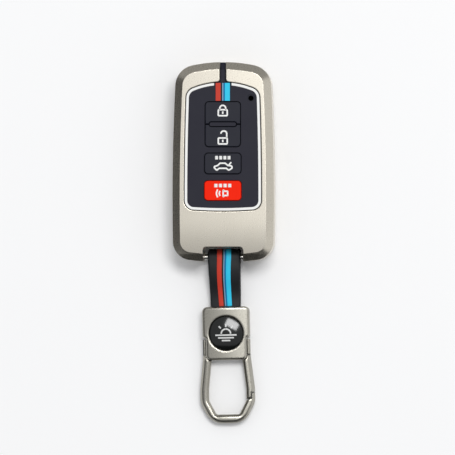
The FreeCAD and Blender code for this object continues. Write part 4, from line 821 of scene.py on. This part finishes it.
@dataclass
class Strap:
    """Soft strap with its coloured stripes; sizes in millimetres, places from the frame."""

    width: float = 13.3
    taper_share: float = 0.09
    thickness: float = 2.8
    edge_round: float = 0.85
    edge_steps: int = 5
    bore_radius: float = 1.5
    bore_step: float = 0.4
    eye_radius: float = 3.25
    bend_radius: float = 14.0
    bend_below: float = 1.2
    tongue_fit: float = 0.1
    tongue: float = 8.2
    step: float = 0.8
    stripe_width: float = 2.0
    pin_width: float = 0.5
    stripe_gap: float = 0.6
    stripe_rise: float = 0.2
    stripe_edge: float = 0.16
    deep_rise: float = 0.08
    stripe_depth: float = 0.5
    stripe_bow: float = 0.35
    stripe_end_gap: float = 0.3
    stripe_wrap_share: float = 0.3
    sharp_angle: float = 40.0

    def __post_init__(self) -> None:
        """Read the bar, the clasp and the lean from the frame."""
        bar_low, bar_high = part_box("strap_bar")
        self.bar_y = (bar_low.y + bar_high.y) / 2 / MM
        self.bar_z = (bar_low.z + bar_high.z) / 2 / MM
        flex = next(joint for joint in frame["joints"] if joint["name"] == "clasp_flex")
        self.lean = math.atan2(flex["axis"][1], flex["axis"][0])
        self.half = self.thickness / 2
        self.high = self.bar_z + self.eye_radius - self.half
        self.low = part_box("clasp_cover")[0].z / MM + self.tongue_fit + self.half
        case_low_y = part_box("rear_shell")[0].y / MM
        self.bend_start = min(case_low_y - self.bend_below, self.bar_y - self.eye_radius)
        self.bend_angle = math.acos(1 - (self.high - self.low) / (2 * self.bend_radius))
        self.bend_end = self.bend_start - 2 * self.bend_radius * math.sin(self.bend_angle)
        strap_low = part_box("strap")[0].y / MM
        self.end = strap_low + self.width / 2 * math.sin(self.lean)
        self.clasp_top = self.end + self.tongue

    def line(self, offset: float, end: float) -> list[Point]:
        """Follow the strap from over the bar to an end.

        Args:
            offset: Height above the strap's middle.
            end: Y of the end.

        Returns:
            Points as Y and Z.
        """
        points = [(y, self.high + offset) for y in spaced(self.bar_y, self.bend_start, self.step)]
        turns = spaced(0.0, self.bend_angle, self.step / self.bend_radius)
        reach = self.bend_radius + offset
        points += [(self.bend_start - reach * math.sin(turn),
                    self.high - self.bend_radius + reach * math.cos(turn)) for turn in turns[1:]]
        reach = self.bend_radius - offset
        points += [(self.bend_end + reach * math.sin(turn),
                    self.low + self.bend_radius - reach * math.cos(turn))
                   for turn in reversed(turns[:-1])]
        points += [(y, self.low + offset) for y in spaced(self.bend_end, end, self.step)[1:]]
        return points

    def round_bar(self, radius: float, last_turn: float, step: float) -> list[Point]:
        """Follow a circle about the bar from its top, over the upper side and round to a turn.

        Args:
            radius: Radius of the circle.
            last_turn: Angle at which it ends, in radians.
            step: Length of a step.

        Returns:
            Points as Y and Z.
        """
        turns = spaced(0.0, last_turn, step / radius)
        return [(self.bar_y + radius * math.sin(turn), self.bar_z + radius * math.cos(turn))
                for turn in turns]

    def outline(self) -> list[Point]:
        """Draw the strap's closed side view.

        Returns:
            Points as Y and Z, clockwise seen from +X.
        """
        top = self.line(self.half, self.end)
        under = self.line(-self.half, self.end)
        meet = 2 * math.pi - math.acos((self.high - self.half - self.bar_z) / self.eye_radius)
        eye = self.round_bar(self.eye_radius, meet, self.step)
        under = [point for point in under if point[0] < eye[-1][0] - self.step / 2]
        return list(reversed(top)) + eye[1:] + under

    def leaning(self) -> Matrix:
        """Turn about the bar by the angle at which the strap hangs."""
        pivot = Matrix.Translation((0, self.bar_y * MM, 0))
        return pivot @ Matrix.Rotation(self.lean, 4, "Z") @ pivot.inverted()

    def build(self) -> Object:
        """Make the strap with its long edges rounded.

        Returns:
            The piece.
        """
        outer = self.outline()
        bore = self.round_bar(self.bore_radius, 2 * math.pi, self.bore_step)[:-1]
        quarter = [math.pi / 2 * number / self.edge_steps for number in range(self.edge_steps + 1)]
        flanks = [(self.width / 2 - self.edge_round * (1 - math.sin(turn)),
                   self.edge_round * (1 - math.cos(turn))) for turn in quarter]
        stations = [(-side, inset) for side, inset in reversed(flanks)] + flanks
        shape = bmesh.new()
        outer_rings = [add_ring(shape, side, shrunk(outer, inset)) for side, inset in stations]
        bore_rings = [add_ring(shape, side, bore) for side in (-self.width / 2, self.width / 2)]
        for rings in (outer_rings, bore_rings):
            for one, two in zip(rings, rings[1:]):
                bridge(shape, one, two)
        for end in (0, -1):
            rims = ring_edges(outer_rings[end]) + ring_edges(bore_rings[end])
            bmesh.ops.triangle_fill(shape, edges=rims, use_beauty=True)
        bmesh.ops.recalc_face_normals(shape, faces=shape.faces)
        mesh = finished(shape, "soft_strap")
        mesh.transform(Matrix.Scale(MM, 4))
        mesh.materials.append(STRAP_SILICONE.material())
        return self.hang(mesh, "strap", "black_silicone")

    def hung(self, y: float) -> float:
        """Share of the way from the bar to the clasp, from 0 to 1."""
        return min(max((self.bar_y - y) / (self.bar_y - self.clasp_top), 0.0), 1.0)

    def lay(self, bands: NodeTree, stripe: Stripe) -> Object:
        """Lay one stripe along the front of the strap.

        Args:
            bands: Tree that sweeps a band.
            stripe: Its place, size and finish.

        Returns:
            The piece.
        """
        lift = self.half + stripe.rise - self.stripe_depth / 2
        last_turn = math.acos(self.stripe_wrap_share)
        wrap = self.round_bar(self.eye_radius + lift - self.half, last_turn, self.step)
        run = list(reversed(wrap)) + self.line(lift, self.clasp_top + self.stripe_end_gap)[1:]
        name = f"soft_stripe_{stripe.colour}"
        path = bpy.data.meshes.new(name)
        bow = [self.stripe_bow * math.sin(math.pi * self.hung(y)) for y, z in run]
        corners = [Vector((stripe.middle - aside, y, z)) * MM for aside, (y, z) in zip(bow, run)]
        path.from_pydata(corners, [(number, number + 1) for number in range(len(corners) - 1)], [])
        mesh = grow(name, path, bands, Width=stripe.width * MM, Thickness=self.stripe_depth * MM,
                    Edge=self.stripe_edge * MM, Material=stripe.finish.material())
        return self.hang(mesh, stripe.node, stripe.slot)

    def hang(self, mesh: Mesh, node: str | None, slot: str) -> Object:
        """Taper and lean a mesh, and stand it in for a CAD node.

        Args:
            mesh: The upright mesh.
            node: The CAD node that it replaces, if any.
            slot: Its material slot; not used.

        Returns:
            The piece.
        """
        for corner in mesh.vertices:
            corner.co.x *= 1 - self.taper_share * self.hung(corner.co.y / MM)
        mesh.transform(self.leaning())
        smooth(mesh, self.sharp_angle)
        piece = add_object(mesh.name, mesh)
        start = self.leaning() @ (Vector((0, self.bend_start, self.high)) * MM)
        end = self.leaning() @ (Vector((0, self.bend_end, self.low)) * MM)
        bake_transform(piece)
        if node:
            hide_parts(node)
        return piece

    def dress(self, bands: NodeTree) -> Iterator[Object]:
        """Make the strap and its stripes.

        Args:
            bands: Tree that sweeps a band.

        Returns:
            The strap, then each stripe.
        """
        side = self.pin_width / 2 + self.stripe_gap + self.stripe_width / 2
        between = (self.pin_width + self.stripe_gap) / 2
        yield self.build()
        for stripe in (
                Stripe("red", -side, self.stripe_width, self.stripe_rise, RED_INLAY, "red_silicone",
                       "strap_stripe_red"),
                Stripe("pale", 0.0, self.pin_width, self.stripe_rise, PALE_INLAY, "pale_silicone",
                       "strap_stripe_pale"),
                Stripe("blue", side, self.stripe_width, self.stripe_rise, BLUE_INLAY, "blue_silicone",
                       "strap_stripe_blue"),
                Stripe("deep", between, self.stripe_gap, self.deep_rise, DEEP_INLAY, "blue_silicone")):
            yield self.lay(bands, stripe)


@dataclass
class Field:
    """Deep blue line in the button field, between the pale and the blue stripe; sizes in millimetres."""

    left: str = "field_stripe_pale"
    right: str = "field_stripe_blue"
    line_drop: float = 0.05
    line_depth: float = 0.1

    def lay_line(self, dashes: NodeTree) -> Object:
        """Lay the line along the gap between the two stripes.

        Args:
            dashes: Tree for a row of dashes, of which this is one.

        Returns:
            The piece, riding on the front.
        """
        left_low, left_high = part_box(self.left)
        right_low, right_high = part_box(self.right)
        low_y = max(left_low.y, right_low.y)
        width = right_low.x - left_high.x
        mesh = grow("field_stripe_deep", bpy.data.meshes.new("field_stripe_deep"), dashes, Count=1,
                    Pitch=width, Width=width, Height=min(left_high.y, right_high.y) - low_y,
                    Thickness=self.line_depth * MM, Material=DEEP_INLAY.material())
        top = min(left_high.z, right_high.z) - (self.line_drop + self.line_depth / 2) * MM
        mesh.transform(Matrix.Translation((left_high.x + width / 2, low_y, top)))
        piece = add_object("field_stripe_deep", mesh)
        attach(piece, "front_case")
        return piece


@dataclass
class Badge:
    """Poured dome on the badge's disc, with a foil motif; sizes in millimetres."""

    dome: str = "badge_dome"
    rim_height: float = 0.5
    rim_round: float = 0.12
    rim_inset: float = 0.04
    dome_rings: int = 16
    dome_sides: int = 96
    line_width: float = 0.6
    foil_depth: float = 0.06
    foil_edge: float = 0.02
    drape_step: float = 0.6
    sharp_angle: float = 50.0

    def __post_init__(self) -> None:
        """Read the dome's place and size, in metres, from the frame."""
        low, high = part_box(self.dome)
        self.foot = Vector(((low.x + high.x) / 2, (low.y + high.y) / 2, low.z))
        self.radius = (high.x - low.x) / 2
        self.crown = high.z - low.z
        rise = self.crown - self.rim_height * MM
        self.ball = (self.radius ** 2 + rise ** 2) / (2 * rise)

    def height(self, reach: float) -> float:
        """Height of the dome's surface over its foot at a reach from its middle."""
        return self.crown - self.ball + math.sqrt(self.ball ** 2 - reach ** 2)

    def pour_dome(self) -> Object:
        """Pour the dome over the disc, smooth from rim to crown.

        Returns:
            The piece, riding on the clasp in place of the plain dome.
        """
        wall = self.rim_height * MM
        edge = self.rim_round * MM
        turns = [2 * math.pi * number / self.dome_sides for number in range(self.dome_sides)]
        inner = [(self.radius - edge) * (1 - number / self.dome_rings)
                 for number in range(self.dome_rings)]
        side = [(self.radius, 0.0), (self.radius, wall - edge)]
        side.append((self.radius - self.rim_inset * MM, wall))
        side += [(reach, self.height(reach)) for reach in inner]
        shape = bmesh.new()
        rings = [[shape.verts.new((reach * math.cos(turn), reach * math.sin(turn), height))
                  for turn in turns] for reach, height in side]
        for one, two in zip(rings, rings[1:]):
            bridge(shape, one, two)
        top = shape.verts.new((0, 0, self.crown))
        base = shape.verts.new((0, 0, 0))
        for number in range(self.dome_sides):
            after = (number + 1) % self.dome_sides
            shape.faces.new((rings[-1][number], rings[-1][after], top))
            shape.faces.new((rings[0][after], rings[0][number], base))
        bmesh.ops.recalc_face_normals(shape, faces=shape.faces)
        mesh = finished(shape, "poured_dome")
        mesh.transform(Matrix.Translation(self.foot))
        mesh.materials.append(RESIN.material())
        smooth(mesh, self.sharp_angle)
        piece = add_object("poured_dome", mesh)
        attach(piece, "clasp")
        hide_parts(self.dome)
        return piece

    def print_motif(self, bands: NodeTree, lean: float) -> Object:
        """Lay the sunrise in foil, draped over the dome.

        Args:
            bands: Tree for the motif's lines.
            lean: Angle at which the clasp hangs.

        Returns:
            The piece, riding on the clasp.
        """
        strokes = [stroke.split(self.drape_step) for stroke in Sign.SUNRISE.value]
        mesh = grow("badge_motif", path_mesh("badge_motif", strokes), bands,
                    Width=self.line_width * MM, Thickness=self.foil_depth * MM,
                    Edge=self.foil_edge * MM, Material=BADGE_INK.material())
        mesh.transform(Matrix.Rotation(lean, 4, "Z"))
        for corner in mesh.vertices:
            corner.co.z += self.height(corner.co.xy.length)
        mesh.transform(Matrix.Translation(self.foot))
        piece = add_object("badge_motif", mesh)
        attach(piece, "clasp")
        return piece


@dataclass
class GateSpring:
    """Torsion spring of the gate, which twists between its legs; sizes in millimetres."""

    node: str = "gate_spring"
    low_leg: float = 0.7
    high_leg: float = 0.65
    merge: float = 0.001
    sharp_angle: float = 40.0

    def wind(self) -> Object:
        """Copy the wire as one smooth piece.

        Returns:
            The piece, in place of the stiff wire.
        """
        wire = bpy.data.objects[self.node]
        shape = bmesh.new()
        shape.from_mesh(wire.data)
        shape.transform(wire.matrix_world)
        bmesh.ops.remove_doubles(shape, verts=shape.verts, dist=self.merge * MM)
        mesh = finished(shape, "twisting_spring")
        mesh.materials.append(STEEL.material())
        smooth(mesh, self.sharp_angle)
        piece = add_object("twisting_spring", mesh)
        low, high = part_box(self.node)
        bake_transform(piece)
        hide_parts(self.node)
        return piece


class Side(Enum):
    """Cards round the object, each with the way that it stands from the middle and its brightness."""

    LEFT = (-1, 0, 0.062)
    RIGHT = (1, 0, 0.78)
    FRONT = (0, -1, 0.015)
    BACK = (0, 1, 0.34)


@dataclass
class Studio:
    """Floor, soft light and the photo's camera; sizes in millimetres, angles in degrees."""

    frame_width: float = 183.3
    aim: tuple[float, float, float] = (1.4, -26.2, 9.0)
    distance: float = 2400.0
    stand_right: float = 3.2
    stand_low: float = 1.0
    sensor: float = 36.0
    floor_reach: float = 20000.0
    floor_white: str = "#fdfdfd"
    card_reach: float = 115.0
    card_height: float = 150.0
    box_distance: float = 2200.0
    box_turn: float = 62.0
    box_drop: float = 20.0
    box_sides: tuple[float, float] = (1000.0, 600.0)
    box_watts: float = 24.0
    fill: float = 0.53
    sky_white: str = "#fcfdff"

    def set_camera(self) -> None:
        """Stand the camera over the object, a little to its right, as the photo's was."""
        right = math.radians(self.stand_right)
        low = math.radians(self.stand_low)
        back = Vector((math.sin(right), -math.sin(low), math.cos(right) * math.cos(low))).normalized()
        across = Vector((0, 1, 0)).cross(back).normalized()
        up = back.cross(across)
        data = bpy.data.cameras.new("photo_camera")
        data.sensor_width = self.sensor
        data.lens = self.sensor * self.distance / self.frame_width
        camera = bpy.data.objects.new("photo_camera", data)
        turn = Matrix((across, up, back)).transposed().to_4x4()
        camera.matrix_world = Matrix.Translation((Vector(self.aim) + back * self.distance) * MM) @ turn
        bpy.context.scene.collection.objects.link(camera)
        bpy.context.scene.camera = camera

    def lay_floor(self) -> None:
        """Lay a white floor under the object; it keeps the object's shadow."""
        reach = self.floor_reach * MM
        level = CAD_BOX[0].z
        mesh = bpy.data.meshes.new("floor")
        mesh.from_pydata([(-reach, -reach, level), (reach, -reach, level), (reach, reach, level),
                          (-reach, reach, level)], [], [(0, 1, 2, 3)])
        made = bare_material("studio_floor_white")
        tree = made.node_tree
        paint = add_node(tree, "ShaderNodeBsdfDiffuse", {"Color": linear(self.floor_white)})
        add_node(tree, "ShaderNodeOutputMaterial", {"Surface": paint.outputs["BSDF"]})
        mesh.materials.append(made)
        add_object("floor", mesh)

    def stand_cards(self) -> None:
        """Stand a card on each side, seen in reflections alone: dark left and front, light right."""
        middle = Vector((self.aim[0], self.aim[1], 0))
        for side in Side:
            right, ahead, glow = side.value
            out = Vector((right, ahead, 0))
            along = Vector((-ahead, right, 0))
            rise = Vector((0, 0, self.card_height))
            corners = [middle + (out + along * end) * self.card_reach for end in (-1, 1)]
            corners += [corners[1] + rise, corners[0] + rise]
            name = f"card_{side.name.lower()}"
            mesh = bpy.data.meshes.new(name)
            mesh.from_pydata([corner * MM for corner in corners], [], [(0, 1, 2, 3)])
            made = bare_material(f"studio_{name}")
            tree = made.node_tree
            shine = add_node(tree, "ShaderNodeEmission", {"Strength": glow})
            add_node(tree, "ShaderNodeOutputMaterial", {"Surface": shine.outputs["Emission"]})
            mesh.materials.append(made)
            card = add_object(name, mesh)
            card.visible_camera = False
            card.visible_diffuse = False
            card.visible_shadow = False
            card.visible_transmission = False

    def light(self) -> None:
        """Hang a softbox over the upper right, and fill the rest with even light."""
        world = bpy.data.worlds.new("studio")
        bpy.context.scene.world = world
        world.use_nodes = True
        tree = world.node_tree
        tree.nodes.clear()
        sky = add_node(tree, "ShaderNodeBackground", {
            "Color": linear(self.sky_white), "Strength": self.fill})
        add_node(tree, "ShaderNodeOutputWorld", {"Surface": sky.outputs["Background"]})
        lamp = bpy.data.lights.new("softbox", "AREA")
        lamp.shape = "RECTANGLE"
        lamp.size = self.box_sides[0] * MM
        lamp.size_y = self.box_sides[1] * MM
        lamp.energy = self.box_watts
        turn = math.radians(self.box_turn)
        drop = math.radians(self.box_drop)
        way = Vector((math.cos(turn) * math.sin(drop), math.sin(turn) * math.sin(drop), math.cos(drop)))
        stand = bpy.data.objects.new("softbox", lamp)
        stand.location = (Vector(self.aim) + way * self.box_distance) * MM
        stand.rotation_euler = (-way).to_track_quat("-Z", "Y").to_euler()
        bpy.context.scene.collection.objects.link(stand)


BUTTONS = (
    Button("lock_button", "lock_key", Sign.LOCK, sign_lift=0.54),
    Button("unlock_button", "unlock_key", Sign.UNLOCK, sign_lift=-0.41),
    Button("trunk_button", "trunk_key", Sign.TRUNK, sign_lift=-1.2, dash_lift=1.62),
    Button("panic_button", "panic_key", Sign.HORN, sign_lift=-1.15, dash_lift=1.3, dash_reach=6.9),
)


def dress_solids() -> None:
    """Give every CAD node its finish."""
    for finish, names in NODE_FINISHES.items():
        for name in names:
            node = bpy.data.objects[name]
            for holder in node.material_slots:
                holder.material = finish.material()
            LOG.info("%s is %s", name, finish.name)


def main() -> None:
    """Dress the solids, add the soft and printed pieces, and set up the studio."""
    logging.basicConfig(level=logging.INFO, format="%(name)s: %(message)s")
    bpy.context.scene.view_settings.view_transform = "Standard"
    dress_solids()
    bands = band_tree()
    dashes = dash_tree()
    strap = Strap()
    made = list(strap.dress(bands))
    for button in BUTTONS:
        made += button.print_signs(bands, dashes)
    badge = Badge()
    made += [Field().lay_line(dashes), badge.print_motif(bands, strap.lean), badge.pour_dome()]
    made.append(GateSpring().wind())
    for piece in made:
        LOG.info("%s has %d faces", piece.name, len(piece.data.polygons))
    studio = Studio()
    studio.set_camera()
    studio.lay_floor()
    studio.stand_cards()
    studio.light()


if __name__ == "__main__":
    main()
